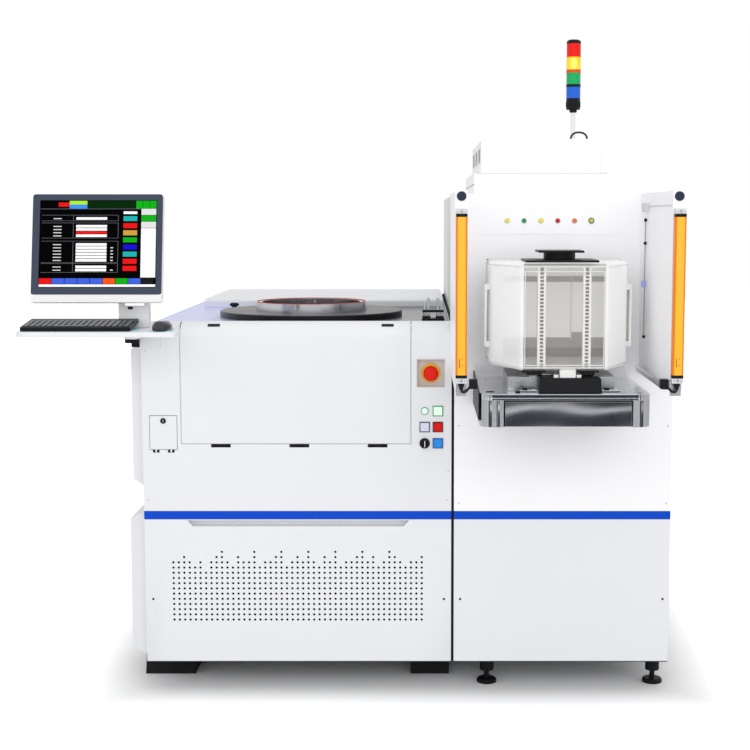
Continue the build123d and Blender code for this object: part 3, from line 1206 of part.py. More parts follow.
def write_parts():
    """Write one file for each sub-part, with the footprint's centre at the origin."""
    os.makedirs("parts", exist_ok=True)
    home = Location((-CENTRE_X, -CENTRE_Y, 0))
    for node, solids in nodes.items():
        export_step(Compound(children=[solid.moved(home) for solid in solids]), f"parts/{node}.step")


make_feet()
make_prober_cabinet()
make_front_door()
make_service_flap()
make_controls()
make_stage()
make_loader_cabinet()
make_load_port()
make_carrier()
make_guards()
make_roof()
make_robot()
make_console()

if __name__ == "__main__":
    write_parts()
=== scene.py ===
"""Dressed model of a floor-standing wafer probe station: fine pieces, finishes, studio and camera."""

from __future__ import annotations

import logging
import math
from dataclasses import dataclass
from enum import Enum
from typing import Sequence

import bmesh
import bpy
from mathutils import Matrix, Vector


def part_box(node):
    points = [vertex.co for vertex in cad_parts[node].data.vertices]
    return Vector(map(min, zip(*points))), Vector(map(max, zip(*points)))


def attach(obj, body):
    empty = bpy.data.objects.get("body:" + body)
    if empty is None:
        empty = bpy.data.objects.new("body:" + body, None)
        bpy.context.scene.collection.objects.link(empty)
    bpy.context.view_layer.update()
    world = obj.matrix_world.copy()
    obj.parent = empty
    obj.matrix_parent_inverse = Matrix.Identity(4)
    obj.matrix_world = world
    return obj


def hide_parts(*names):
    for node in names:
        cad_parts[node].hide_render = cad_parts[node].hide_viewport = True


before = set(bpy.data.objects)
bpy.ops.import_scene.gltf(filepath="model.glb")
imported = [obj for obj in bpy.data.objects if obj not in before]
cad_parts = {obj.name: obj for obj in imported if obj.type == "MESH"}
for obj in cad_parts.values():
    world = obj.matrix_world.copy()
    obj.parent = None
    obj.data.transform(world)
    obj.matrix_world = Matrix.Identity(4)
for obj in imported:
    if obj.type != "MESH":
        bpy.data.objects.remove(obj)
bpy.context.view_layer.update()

log = logging.getLogger("probe_station")

MM = 0.001
PROBER_LEFT = -945.0
SMOOTH_ANGLE = math.radians(34)
SHARP_ANGLE = math.radians(28)
STATION = "station"
# A face whose normal lies this close to an axis counts as flat.
FLAT_SHARE = 0.99
# The width of one ring of a wave texture whose scale is one.
RING_PERIOD = 0.314
TO_FRONT = (0.0, -1.0, 0.0)
TO_REAR = (0.0, 1.0, 0.0)
TO_LEFT = (-1.0, 0.0, 0.0)
TO_RIGHT = (1.0, 0.0, 0.0)
UPWARD = (0.0, 0.0, 1.0)

# Sizes in this script are millimetres in the machine's working frame: X from the seam between the
# cabinets, Y from the plane of their front panels and Z from the floor.
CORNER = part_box("lower_front_panels")[0]
ORIGIN = Vector((CORNER.x - PROBER_LEFT * MM, CORNER.y, 0.0))
TO_METRES = Matrix.Translation(ORIGIN) @ Matrix.Scale(MM, 4)

PROBER_SPAN = (PROBER_LEFT, -4.0)
LOADER_SPAN = (4.0, 668.0)
REAR_PLANE = 1750.0
COVER_TOP = 1156.0
FILTER_TOP = 1596.0
ROOF_TOP = 1696.0
TRAY_TOP = 1134.0
DISC_CENTRE = (-465.0, 515.0, 1150.0)

Point = tuple[float, float, float]
Plan = Sequence[tuple[float, float]]


def at(x: float, y: float, z: float) -> Vector:
    """Return a place of the working frame as metres in the row frame."""
    return TO_METRES @ Vector((x, y, z))


def linear(colour: str) -> tuple[float, float, float, float]:
    """Turn an sRGB hex colour into linear RGBA.

    Args:
        colour: Six hex digits after a hash.

    Returns:
        Linear red, green and blue, with an alpha of one.
    """
    channels = [int(colour[i:i + 2], 16) / 255 for i in (1, 3, 5)]
    straight = [c / 12.92 if c <= 0.04045 else ((c + 0.055) / 1.055) ** 2.4 for c in channels]
    return (*straight, 1.0)


def add_node(tree: bpy.types.NodeTree, kind: str, inputs: dict | None = None, **settings) -> bpy.types.Node:
    """Add a shader node with its settings, input values and links.

    Args:
        tree: The node tree that gets the node.
        kind: The node's type name.
        inputs: Values or output sockets for its inputs, by name or number.
        **settings: Properties of the node itself.

    Returns:
        The new node.
    """
    made = tree.nodes.new(kind)
    for name, value in settings.items():
        setattr(made, name, value)
    for key, value in (inputs or {}).items():
        if isinstance(value, bpy.types.NodeSocket):
            tree.links.new(value, made.inputs[key])
        else:
            made.inputs[key].default_value = value
    return made


class Grain(Enum):
    """How a surface was made: the share of its pattern's frequency along X, Y and Z."""

    EVEN = (1.0, 1.0, 1.0)
    ALONG_X = (0.02, 1.0, 1.0)
    ALONG_Y = (1.0, 0.02, 1.0)
    ALONG_Z = (1.0, 1.0, 0.02)


@dataclass(frozen=True)
class Finish:
    """A surface finish, with its pattern sizes in millimetres."""

    name: str
    colour: str
    roughness: float
    metallic: float = 0.0
    ior: float = 1.3
    coat: float = 0.0
    alpha: float = 1.0
    glow: float = 0.0
    grain: Grain = Grain.EVEN
    size: float = 1.0
    relief: float = 0.01
    tone: float = 0.02
    spread: float = 0.05
    turned_about: Point | None = None
    # A painted reflection: the second colour, and the X span in millimetres over which the first runs into
    # it.
    fade: tuple[str, float, float] | None = None
    detail: float = 3.0

    def material(self) -> bpy.types.Material:
        """Return the finish's material, made once."""
        found = bpy.data.materials.get(self.name)
        if found:
            return found
        made = bpy.data.materials.new(self.name)
        made.use_nodes = True
        tree = made.node_tree
        shader = tree.nodes["Principled BSDF"]
        place = add_node(tree, "ShaderNodeTexCoord").outputs["Object"]
        pattern = self._pattern(tree, place)
        clouds = add_node(tree, "ShaderNodeTexNoise", {"Vector": place, "Scale": 5.0, "Detail": 2.0})
        both = add_node(tree, "ShaderNodeMath", {0: pattern, 1: clouds.outputs["Fac"]}, operation="ADD")
        share = add_node(tree, "ShaderNodeMath", {0: both.outputs[0], 1: 0.5}, operation="MULTIPLY")
        base = linear(self.colour)
        low = tuple(c * (1 - self.tone) for c in base[:3]) + (1.0,)
        high = tuple(min(1.0, c * (1 + self.tone)) for c in base[:3]) + (1.0,)
        mix = add_node(tree, "ShaderNodeMix", {0: share.outputs[0], 6: low, 7: high}, data_type="RGBA")
        colour = self._faded(tree, place, mix.outputs[2])
        tree.links.new(colour, shader.inputs["Base Color"])
        gloss = add_node(tree, "ShaderNodeMapRange", {
            "Value": share.outputs[0], "From Min": 0.25, "From Max": 0.75,
            "To Min": max(0.02, self.roughness - self.spread), "To Max": self.roughness + self.spread,
        })
        tree.links.new(gloss.outputs["Result"], shader.inputs["Roughness"])
        if self.relief:
            bump = add_node(tree, "ShaderNodeBump", {"Height": pattern, "Distance": self.relief * MM})
            tree.links.new(bump.outputs["Normal"], shader.inputs["Normal"])
        shader.inputs["Metallic"].default_value = self.metallic
        if not self.metallic:
            shader.inputs["IOR"].default_value = self.ior
        shader.inputs["Coat Weight"].default_value = self.coat
        shader.inputs["Alpha"].default_value = self.alpha
        shader.inputs["Emission Color"].default_value = base
        shader.inputs["Emission Strength"].default_value = self.glow
        return made

    def _faded(
        self, tree: bpy.types.NodeTree, place: bpy.types.NodeSocket, colour: bpy.types.NodeSocket
    ) -> bpy.types.NodeSocket:
        """Return the colour, running into a second one along X where the finish has a painted reflection.

        Args:
            tree: The material's node tree.
            place: The surface's place in metres.
            colour: The first colour.

        Returns:
            The colour's socket.
        """
        if not self.fade:
            return colour
        second, start, end = self.fade
        across = add_node(tree, "ShaderNodeSeparateXYZ", {0: place}).outputs["X"]
        span = {"Value": across, "From Min": at(start, 0, 0).x, "From Max": at(end, 0, 0).x}
        share = add_node(tree, "ShaderNodeMapRange", span).outputs["Result"]
        both = {"Factor": share, 6: colour, 7: linear(second)}
        return add_node(tree, "ShaderNodeMix", both, data_type="RGBA").outputs[2]

    def _pattern(self, tree: bpy.types.NodeTree, place: bpy.types.NodeSocket) -> bpy.types.NodeSocket:
        """Return the fine pattern's value: turned rings about an axis, or grain of the finish's size.

        Args:
            tree: The material's node tree.
            place: The surface's place in metres.

        Returns:
            A socket from 0 to 1.
        """
        if self.turned_about:
            centre = at(*self.turned_about)
            moved = add_node(tree, "ShaderNodeMapping", {"Vector": place, "Location": -centre})
            rings = add_node(
                tree, "ShaderNodeTexWave",
                {"Vector": moved.outputs[0], "Scale": RING_PERIOD / (self.size * MM), "Distortion": 0.6},
                wave_type="RINGS", rings_direction="Z",
            )
            return rings.outputs["Fac"]
        scale = tuple(share / (self.size * MM) for share in self.grain.value)
        moved = add_node(tree, "ShaderNodeMapping", {"Vector": place, "Scale": scale})
        grains = {"Vector": moved.outputs[0], "Scale": 1.0, "Detail": self.detail}
        return add_node(tree, "ShaderNodeTexNoise", grains).outputs["Fac"]


# Powder coat on sheet steel: a soft orange peel that breaks up the highlights of the big panels.
PANEL_PAINT = Finish("powder_coated_steel", "#EEEFF2", 0.36, size=1.6, relief=0.02, tone=0.012)
# The same coat where the photograph shows it whiter: a lit copy of the panel coat. Its whiter colour
# is partly painted light, and its small glow is painted light that only lifts it to that brightness:
# the real paint gives off no light.
LIT_PANEL_PAINT = Finish("panel_coat_painted_light", "#FBFBFD", 0.36, glow=0.06, size=1.6, relief=0.02, tone=0.008)
# The same coat, greyer, on screws, brackets and inner strips, so that they stand out from the panels.
INNER_PAINT = Finish("thin_powder_coat", "#DDDDE2", 0.45, size=1.6, relief=0.02, tone=0.02)
# Grey structure enamel on the welded frames, coarse enough to hide the weld grinding.
FRAME_PAINT = Finish("structure_enamel", "#C4C8CE", 0.5, size=2.2, relief=0.05, tone=0.04)
# Black wrinkle coat of pads, hinges and brackets.
BLACK_COAT = Finish("black_wrinkle_coat", "#0D0E11", 0.5, size=0.8, relief=0.06, tone=0.15)
# Blue enamel trim: deep and even, with a soft low sheen.
BLUE_ENAMEL = Finish("blue_enamel", "#0A4CD0", 0.3, ior=1.22, size=6.0, relief=0.004, tone=0.03)
# Black foam gasket in the seam between the cabinets.
SEAM_FOAM = Finish("black_cell_foam", "#1B1C22", 0.85, size=0.7, relief=0.15, tone=0.25)
# Black filter mat behind the vent holes.
FILTER_MAT = Finish("black_filter_mat", "#08080D", 0.95, ior=1.1, size=0.5, relief=0.2, tone=0.3)
# Polished stainless steel: nearly a mirror, with faint polishing lines along X.
MIRROR_STEEL = Finish(
    "polished_stainless", "#E2E4E8", 0.05, metallic=1.0, grain=Grain.ALONG_X, size=40.0, relief=0.0,
    tone=0.01, spread=0.015,
)
# Thin polished cover, hand buffed: it is slightly wavy, so that reflections bend across it.
WAVY_STEEL = Finish(
    "buffed_stainless_cover", "#DCDEE4", 0.05, metallic=1.0, size=130.0, relief=1.1, tone=0.01, spread=0.015,
    detail=0.0,
)
# Brushed stainless sheet: fine lines that draw the highlights out across them.
BRUSHED_STEEL = Finish(
    "brushed_stainless", "#C9CBCF", 0.28, metallic=1.0, grain=Grain.ALONG_X, size=0.4, relief=0.006,
    tone=0.06,
)
# Polished guide shafts, ground and hard chromed.
HARD_CHROME = Finish(
    "hard_chrome", "#E2E4E8", 0.09, metallic=1.0, grain=Grain.ALONG_Z, size=0.5, relief=0.002,
)
# Machined aluminium with milling lines along Y.
MILLED_ALUMINIUM = Finish(
    "milled_aluminium", "#C8CACD", 0.33, metallic=1.0, grain=Grain.ALONG_Y, size=0.5, relief=0.008, tone=0.06,
)
# Turned aluminium ring of the interface: concentric tool lines catch the light in a fan.
TURNED_ALUMINIUM = Finish(
    "turned_aluminium", "#D9DBDF", 0.16, metallic=1.0, size=1.4, relief=0.03, tone=0.14,
    turned_about=DISC_CENTRE,
)
# Black anodised disc, turned: the tool lines still show through the dye.
BLACK_ANODISED = Finish(
    "black_anodised_aluminium", "#121317", 0.34, ior=1.4, size=1.6, relief=0.01, tone=0.2,
    turned_about=DISC_CENTRE,
)
# Black anodised small parts, bead blasted.
BLASTED_BLACK = Finish("blasted_black_anodise", "#16171B", 0.42, size=0.4, relief=0.01, tone=0.12)
# Lapped granite: grey crystals with dark specks.
GRANITE = Finish("lapped_granite", "#5C5E63", 0.35, size=3.0, relief=0.004, tone=0.45)
# Satin deck sheet, which the photograph shows lavender at the left and nearly black further right:
# both colours are a painted reflection, which runs from one to the other along X.
DECK_SHEET_PAINTED_REFLECTION = Finish(
    "deck_sheet_painted_reflection", "#B9C2F4", 0.25, ior=1.4, grain=Grain.ALONG_Y, size=0.6, relief=0.006,
    tone=0.04,
    fade=("#3A3B41", -800.0, -640.0),
)
# Black moulded ABS with a spark-eroded texture.
BLACK_ABS = Finish("black_abs", "#121317", 0.42, size=0.5, relief=0.03, tone=0.1)
# Charcoal key caps and mouse: lightly textured ABS with a worn sheen on top.
CHARCOAL_ABS = Finish("charcoal_abs", "#1B2029", 0.2, ior=1.5, coat=0.3, size=0.5, relief=0.02, tone=0.12)
# Slate bezel of the monitor: fine matt moulding.
SLATE_ABS = Finish("slate_abs", "#3E4657", 0.45, size=0.5, relief=0.015, tone=0.04)
# White moulded plastic of housings, combs and carrier handles.
WHITE_ABS = Finish("white_abs", "#F1F1F0", 0.38, size=0.6, relief=0.015, tone=0.015)
# Warm white polycarbonate of the stop switch's pocket.
POCKET_PLASTIC = Finish("warm_polycarbonate", "#E4DFDC", 0.4, size=0.6, relief=0.01, tone=0.03)
# Clear polycarbonate of the carrier: thin walls that go milky where they are seen edge on.
CLEAR_SHELL = Finish(
    "clear_polycarbonate", "#F6F6F4", 0.1, ior=1.4, alpha=0.16, size=8.0, relief=0.01, tone=0.02,
)
# Sides of the shell, nearly white and only just see-through. The glow is painted light that only lifts
# them to the photograph's brightness.
MILKY_SHELL_PAINTED_GLOW = Finish(
    "milky_polycarbonate_painted_glow", "#FFFFFF", 0.3, ior=1.4, alpha=0.75, glow=0.14, size=8.0, relief=0.01,
    tone=0.01,
)
# The shell's ribs and rims, where more plastic lies in the line of sight.
THICK_SHELL = Finish("thick_polycarbonate", "#F7F7F5", 0.2, ior=1.4, alpha=0.6, size=8.0, relief=0.01)
# Frosted rear of the carrier, which is what shows through its window, lifted by a small glow too:
# painted light, as the plastic gives off no light.
FROSTED_SHELL_PAINTED_GLOW = Finish("frosted_polycarbonate_painted_glow", "#F4F3F1", 0.45, glow=0.08, size=3.0, relief=0.02, tone=0.05)
# Bands across the inside of the carrier's door, greyer than its plain frosted wall.
FROSTED_BAND = Finish("frosted_band", "#A39E9A", 0.5, size=3.0, relief=0.02, tone=0.06)
SMOKED_BAND = Finish("smoked_band", "#837C77", 0.5, size=3.0, relief=0.02, tone=0.1)
# Grey moulded spine behind the comb's white teeth, which sets them off.
COMB_SPINE = Finish("comb_spine", "#A3A09D", 0.5, size=1.0, relief=0.01, tone=0.03)
# Nitrile jacket of the leads.
CABLE_JACKET = Finish("cable_jacket", "#202126", 0.45, size=1.2, relief=0.03, tone=0.1)
# Silicone seal on the card ring.
RED_SILICONE = Finish("red_silicone", "#C23A2E", 0.5, size=0.8, relief=0.02, tone=0.06)
# Light curtain: orange enamel on an extruded housing, with fine draw lines, and its amber window.
CURTAIN_ENAMEL = Finish("orange_enamel", "#F0861A", 0.3, grain=Grain.ALONG_Z, size=1.0, relief=0.01)
CURTAIN_WINDOW = Finish("amber_window", "#FDBD36", 0.22, size=4.0, relief=0.003, tone=0.02)
# Moulded cyan rubber under the keyboard and mouse: matt, and seen as a thin line.
CYAN_RUBBER = Finish("cyan_rubber_foot", "#9AE6F0", 0.5, size=1.0, relief=0.02)
# Small moulded ABS parts in navy and pale blue: satin, with a fine texture.
NAVY_CAP = Finish("navy_cap", "#2A3044", 0.4, size=0.5, relief=0.02, tone=0.06)
PALE_BLUE_CLIP = Finish("pale_blue_clip", "#A9B6F2", 0.35, size=0.6, relief=0.01)
# Yellow acetal of the stop button's collar and the main switch's plate: waxy and even.
YELLOW_COLLAR = Finish("yellow_acetal", "#FFC93A", 0.35, size=0.6, relief=0.01, tone=0.03)
# Moulded frames of the square buttons, each in its own colour.
SLATE_FRAME = Finish("slate_frame", "#39455C", 0.35, size=0.5, relief=0.01, tone=0.06)
SMOKE_FRAME = Finish("smoke_frame", "#2B2B36", 0.35, size=0.5, relief=0.01, tone=0.06)
GREEN_FRAME = Finish("green_frame", "#1F9E57", 0.3, size=0.5, relief=0.01, tone=0.06)
BLUE_FRAME = Finish("blue_frame", "#1E5CA6", 0.3, size=0.5, relief=0.01, tone=0.06)


def moulded_lens(name: str, colour: str, glow: float = 0.03) -> Finish:
    """Return a gloss acrylic lens finish, which glows a little from the light inside it."""
    return Finish(name, colour, 0.2, glow=glow, size=5.0, relief=0.006, tone=0.03)


# Moulded acrylic lenses and button caps in signal colours: smooth, so that they take a clear highlight.
LENS_RED = moulded_lens("lens_red", "#F01A12")
LENS_YELLOW = Finish("lens_yellow", "#FFDE12", 0.2, alpha=0.8, glow=0.1, size=5.0, relief=0.006)
LENS_CORE = Finish("lit_core", "#FFFBD0", 0.5, glow=1.2, size=5.0, relief=0.0)
LENS_EMBER = moulded_lens("lens_ember", "#E2571C")
LENS_GREEN = moulded_lens("lens_green", "#18B062")
LENS_BLUE = moulded_lens("lens_blue", "#2467D8")
RED_BUTTON = moulded_lens("red_acrylic", "#E00F0C", 0.02)
# Moulded acetal of the stop button and main switch: satin, without the depth of a lens.
EMO_RED = Finish("red_acetal", "#EC1A0C", 0.34, size=0.8, relief=0.01, tone=0.03)
GREEN_BUTTON = moulded_lens("lit_green_acrylic", "#DDFBE0", 0.3)
GREY_BUTTON = moulded_lens("grey_acrylic", "#D9DDF0")
BLUE_BUTTON = moulded_lens("blue_acrylic", "#2F8FEA")
PALE_GREEN_LENS = moulded_lens("pale_green_lens", "#E6FBF2", 0.15)
LAMP_YELLOW = moulded_lens("lamp_yellow", "#F7E23C")
LAMP_GREEN = moulded_lens("lamp_green", "#16935A")
LAMP_RED = moulded_lens("lamp_red", "#C61B22")
LAMP_ORANGE = moulded_lens("lamp_orange", "#E07A3C")
LAMP_OLIVE = moulded_lens("lamp_olive", "#CFCB5A")


def screen_colour(name: str, colour: str) -> Finish:
    """Return a field of the lit screen: its light comes from behind the glass, so it glows."""
    return Finish(f"screen_{name}", colour, 0.4, ior=1.08, glow=0.1, size=3.0, relief=0.0, tone=0.0)


# Matt coated glass of the monitor: nearly black, and it hardly mirrors the room.
SCREEN_GLASS = Finish("screen_glass", "#020203", 0.3, ior=1.08, size=8.0, relief=0.0, tone=0.05)


def rounded(corners: Sequence[Point], steps: int = 8) -> list[tuple[float, float]]:
    """Round the corners of a flat outline with arcs.

    Args:
        corners: Each corner's two coordinates and its radius.
        steps: Segments in each arc.

    Returns:
        The outline's points.
    """
    outline: list[tuple[float, float]] = []
    for index, (x, y, radius) in enumerate(corners):
        here = Vector((x, y))
        if not radius:
            outline.append((x, y))
            continue
        before = (Vector(corners[index - 1][:2]) - here).normalized()
        after = (Vector(corners[(index + 1) % len(corners)][:2]) - here).normalized()
        half = before.angle(after) / 2
        centre = here + (before + after).normalized() * (radius / math.sin(half))
        start = here + before * (radius / math.tan(half)) - centre
        turn = start.angle_signed(here + after * (radius / math.tan(half)) - centre)
        for step in range(steps + 1):
            arm = Matrix.Rotation(-turn * step / steps, 2) @ start
            outline.append(tuple(centre + arm))
    return outline


def flatten(piece: bpy.types.Object) -> None:
    """Let a piece's large faces shade flat, so that only its small edge faces bend the light."""
    normals = piece.modifiers.new("face_weights", "WEIGHTED_NORMAL")
    normals.mode = "FACE_AREA"
    normals.weight = 90
    normals.keep_sharp = True


def join_rings(part: bmesh.types.BMesh, near: Sequence, far: Sequence) -> None:
    """Add a band of faces between two closed rings that have equally many points.

    Args:
        part: The mesh that gets the band.
        near: The points of one ring.
        far: The points of the other.
    """
    for k in range(len(near)):
        m = (k + 1) % len(near)
        part.faces.new((near[k], near[m], far[m], far[k]))


class Shape:
    """A mesh under construction, drawn in millimetres in the machine's working frame."""

    def __init__(self, place: Matrix | None = None) -> None:
        """Start an empty shape, with an optional pose for what is drawn in it."""
        self.mesh = bmesh.new()
        self.finishes: list[Finish] = []
        self.place = place or Matrix.Identity(4)

    def add(self, part: bmesh.types.BMesh, finish: Finish, edge: float = 0.0, steps: int = 2) -> None:
        """Soften a piece's sharp edges, give it its finish and join it to the shape.

        Args:
            part: The piece, which is used up.
            finish: Its surface.
            edge: The radius of its edges.
            steps: Segments across an edge.
        """
        if edge:
            sharp = [e for e in part.edges if e.is_manifold and e.calc_face_angle(0.0) > SHARP_ANGLE]
            bmesh.ops.bevel(part, geom=sharp, offset=edge, segments=steps, affect="EDGES", profile=0.5)
        if finish not in self.finishes:
            self.finishes.append(finish)
        number = self.finishes.index(finish)
        for face in part.faces:
            face.material_index = number
            face.smooth = True
        part.transform(self.place)
        scratch = bpy.data.meshes.new("scratch")
        part.to_mesh(scratch)
        part.free()
        self.mesh.from_mesh(scratch)
        bpy.data.meshes.remove(scratch)

    def box(self, low: Point, high: Point, finish: Finish, edge: float = 1.0, steps: int = 2) -> None:
        """Add a block between two corners.

        Args:
            low: Its lowest corner.
            high: Its highest corner.
            finish: Its surface.
            edge: The radius of its edges.
            steps: Segments across an edge.
        """
        part = bmesh.new()
        bmesh.ops.create_cube(part, size=1.0)
        near, far = Vector(low), Vector(high)
        part.transform(Matrix.Translation((near + far) / 2) @ Matrix.Diagonal((*(far - near), 1.0)))
        self.add(part, finish, edge, steps)

    def rod(
        self, start: Point, end: Point, radius: float, finish: Finish, edge: float = 0.6, sides: int = 40
    ) -> None:
        """Add a round bar between the centres of its two ends.

        Args:
            start: The centre of one end.
            end: The centre of the other.
            radius: Its radius.
            finish: Its surface.
            edge: The radius of its rims.
            sides: Facets round it.
        """
        profile = [(0.0, 0.0), (radius, 0.0), (radius, (Vector(end) - Vector(start)).length)]
        self.lathe(start, end, [*profile, (0.0, profile[-1][1])], finish, edge, sides)

    def lathe(
        self, start: Point, end: Point, profile: Plan, finish: Finish, edge: float = 0.0, sides: int = 40
    ) -> None:
        """Add a turned piece.

        Args:
            start: The foot of its axis.
            end: A point further along its axis.
            profile: Radius and height of each ring, from the foot up.
            finish: Its surface.
            edge: The radius of its sharp rims.
            sides: Facets round it.
        """
        part = bmesh.new()
        rings = []
        for radius, height in profile:
            if radius < 1e-6:
                rings.append([part.verts.new((0.0, 0.0, height))])
                continue
            angles = [2 * math.pi * k / sides for k in range(sides)]
            ring = [(radius * math.cos(a), radius * math.sin(a), height) for a in angles]
            rings.append([part.verts.new(spot) for spot in ring])
        for lower, upper in zip(rings, rings[1:]):
            if len(lower) == len(upper):
                join_rings(part, lower, upper)
                continue
            for k in range(sides):
                m = (k + 1) % sides
                if len(lower) == 1:
                    part.faces.new((lower[0], upper[m], upper[k]))
                else:
                    part.faces.new((lower[k], lower[m], upper[0]))
        axis = Vector(end) - Vector(start)
        part.transform(Matrix.Translation(Vector(start)) @ axis.to_track_quat("Z", "Y").to_matrix().to_4x4())
        self.add(part, finish, edge)

    def prism(
        self, outline: Plan, axis: str, low: float, high: float, finish: Finish, edge: float = 1.0,
        steps: int = 2,
    ) -> None:
        """Add a flat outline run along an axis.

        Args:
            outline: Points in the two other coordinates, in the order X, Y, Z.
            axis: x, y or z.
            low: Where the run starts.
            high: Where it ends.
            finish: Its surface.
            edge: The radius of its sharp edges.
            steps: Segments across an edge.
        """
        slot = "xyz".index(axis)
        part = bmesh.new()
        ends = []
        for level in (low, high):
            ring = []
            for pair in outline:
                place = list(pair)
                place.insert(slot, level)
                ring.append(part.verts.new(place))
            ends.append(ring)
        part.faces.new(ends[0])
        part.faces.new(ends[1])
        join_rings(part, *ends)
        bmesh.ops.recalc_face_normals(part, faces=part.faces)
        self.add(part, finish, edge, steps)

    def screw(
        self, x: float, y: float, z: float, out: Point, size: float = 4.0, finish: Finish | None = None
    ) -> None:
        """Add a button-head screw with its socket.

        Args:
            x: Its place along X.
            y: Its place along Y.
            z: Its place along Z.
            out: The direction that its head faces.
            size: The head's radius.
            finish: Its surface, or hard chrome.
        """
        ahead = tuple(Vector((x, y, z)) + Vector(out))
        profile = [
            (0.0, size * 0.12), (size * 0.4, size * 0.12), (size * 0.42, size * 0.4),
            (size * 0.7, size * 0.38), (size * 0.96, size * 0.2), (size, 0.0),
        ]
        self.lathe((x, y, z), ahead, profile, finish or HARD_CHROME, sides=20)

    def make(self, name: str, body: str, slot: str, *replaced: str) -> bpy.types.Object:
        """Turn the shape into an object that rides on a body.

        Args:
            name: The piece's name.
            body: The body that it moves with.
            slot: The record's material slot for it; not used.
            *replaced: The CAD nodes that it stands for.

        Returns:
            The new object.
        """
        self.mesh.transform(TO_METRES)
        data = bpy.data.meshes.new(name)
        self.mesh.to_mesh(data)
        self.mesh.free()
        for finish in self.finishes:
            data.materials.append(finish.material())
        data.set_sharp_from_angle(angle=SMOOTH_ANGLE)
        piece = bpy.data.objects.new(name, data)
        flatten(piece)
        bpy.context.scene.collection.objects.link(piece)
        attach(piece, body)
        if replaced:
            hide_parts(*replaced)
        log.info("%s: %d faces on %s", name, len(data.polygons), body)
        return piece


@dataclass
class CadDressing:
    """Finishes and softened edges for the CAD pieces that stay as they are."""

    weld: float = 0.01
    whole_angle: float = 0.4
    edge_angle: float = 40.0
    box_like: tuple[str, ...] = (
        "prober_body_panels", "loader_body_panels", "filter_unit", "deck_plate", "service_flap",
    )

    def dress(self) -> None:
        """Give each kept CAD node its finish, and round its edges by a modifier."""
        plan: dict[Finish, dict[str, float]] = {
            PANEL_PAINT: {
                "upper_front_panel": 1.4, "front_door": 1.4, "service_flap": 0.0,
                "prober_body_panels": 1.6, "loader_body_panels": 1.4, "robot_turret": 1.5,
            },
            # Lit copy of the panel coat: whiter, with a small painted glow.
            LIT_PANEL_PAINT: {
                "curtain_wings": 1.5, "filter_unit": 1.4, "port_plate": 1.0, "loader_front_panel": 1.4,
            },
            FRAME_PAINT: {"prober_frame": 3.0, "loader_frame": 3.0},
            BLACK_COAT: {"feet": 2.0, "hinge_brackets": 0.5, "door_fittings": 0.5},
            BLACK_ABS: {
                "left_door_latch": 0.8, "right_door_latch": 0.8, "mode_selector": 0.8,
                "carrier_fittings": 1.0, "keyboard": 1.2,
            },
            BLASTED_BLACK: {"port_door": 1.2},
            EMO_RED: {"emo_button": 0.8},
            GREEN_BUTTON: {"green_button": 0.6},
            GREY_BUTTON: {"grey_button": 0.6},
            RED_BUTTON: {"red_button": 0.6},
            BLUE_BUTTON: {"blue_button": 0.6},
            # The deck sheet's colour is a painted reflection.
            DECK_SHEET_PAINTED_REFLECTION: {"deck_plate": 1.0},
            BLACK_ANODISED: {"interface_disc": 1.0},
            TURNED_ALUMINIUM: {"card_ring": 1.0, "wafer_chuck": 0.8},
            RED_SILICONE: {"ring_seal": 0.4},
            GRANITE: {"stage_base": 2.0},
            MILLED_ALUMINIUM: {
                "y_carriage": 1.5, "x_carriage": 1.5, "chuck_lift": 1.0, "robot_column": 1.5,
                "robot_lift": 1.0, "robot_blade": 0.6, "fan_rotor": 0.6,
            },
            BRUSHED_STEEL: {"carrier_stage": 1.0},
            # The frosted door's glow is painted light.
            FROSTED_SHELL_PAINTED_GLOW: {"carrier_door": 1.5},
            WHITE_ABS: {"carrier_handles": 2.0},
        }
        for finish, nodes in plan.items():
            for name, edge in nodes.items():
                self._dress_node(name, finish, edge)

    def _dress_node(self, name: str, finish: Finish, edge: float) -> None:
        """Give one CAD node its finish and softened edges.

        Args:
            name: The node.
            finish: Its surface.
            edge: The radius of its edges.
        """
        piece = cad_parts[name]
        piece.data.materials.clear()
        piece.data.materials.append(finish.material())
        weld = piece.modifiers.new("weld", "WELD")
        weld.merge_threshold = self.weld * MM
        if name not in self.box_like:
            whole = piece.modifiers.new("whole_faces", "DECIMATE")
            whole.decimate_type = "DISSOLVE"
            whole.angle_limit = math.radians(self.whole_angle)
        if edge:
            bevel = piece.modifiers.new("edges", "BEVEL")
            bevel.width = edge * MM
            bevel.segments = 2
            bevel.limit_method = "ANGLE"
            bevel.angle_limit = math.radians(self.edge_angle)
            bevel.use_clamp_overlap = True
        imported = piece.data.attributes.get("custom_normal")
        if imported:
            piece.data.attributes.remove(imported)
        for face in piece.data.polygons:
            squarest = max(abs(share) for share in face.normal)
            face.use_smooth = name not in self.box_like or squarest < FLAT_SHARE
        piece.data.set_sharp_from_angle(angle=SMOOTH_ANGLE)
        split = piece.modifiers.new("hard_edges", "EDGE_SPLIT")
        split.split_angle = SMOOTH_ANGLE
        split.use_edge_sharp = False
        flatten(piece)
        log.info("%s dressed as %s", name, finish.name)


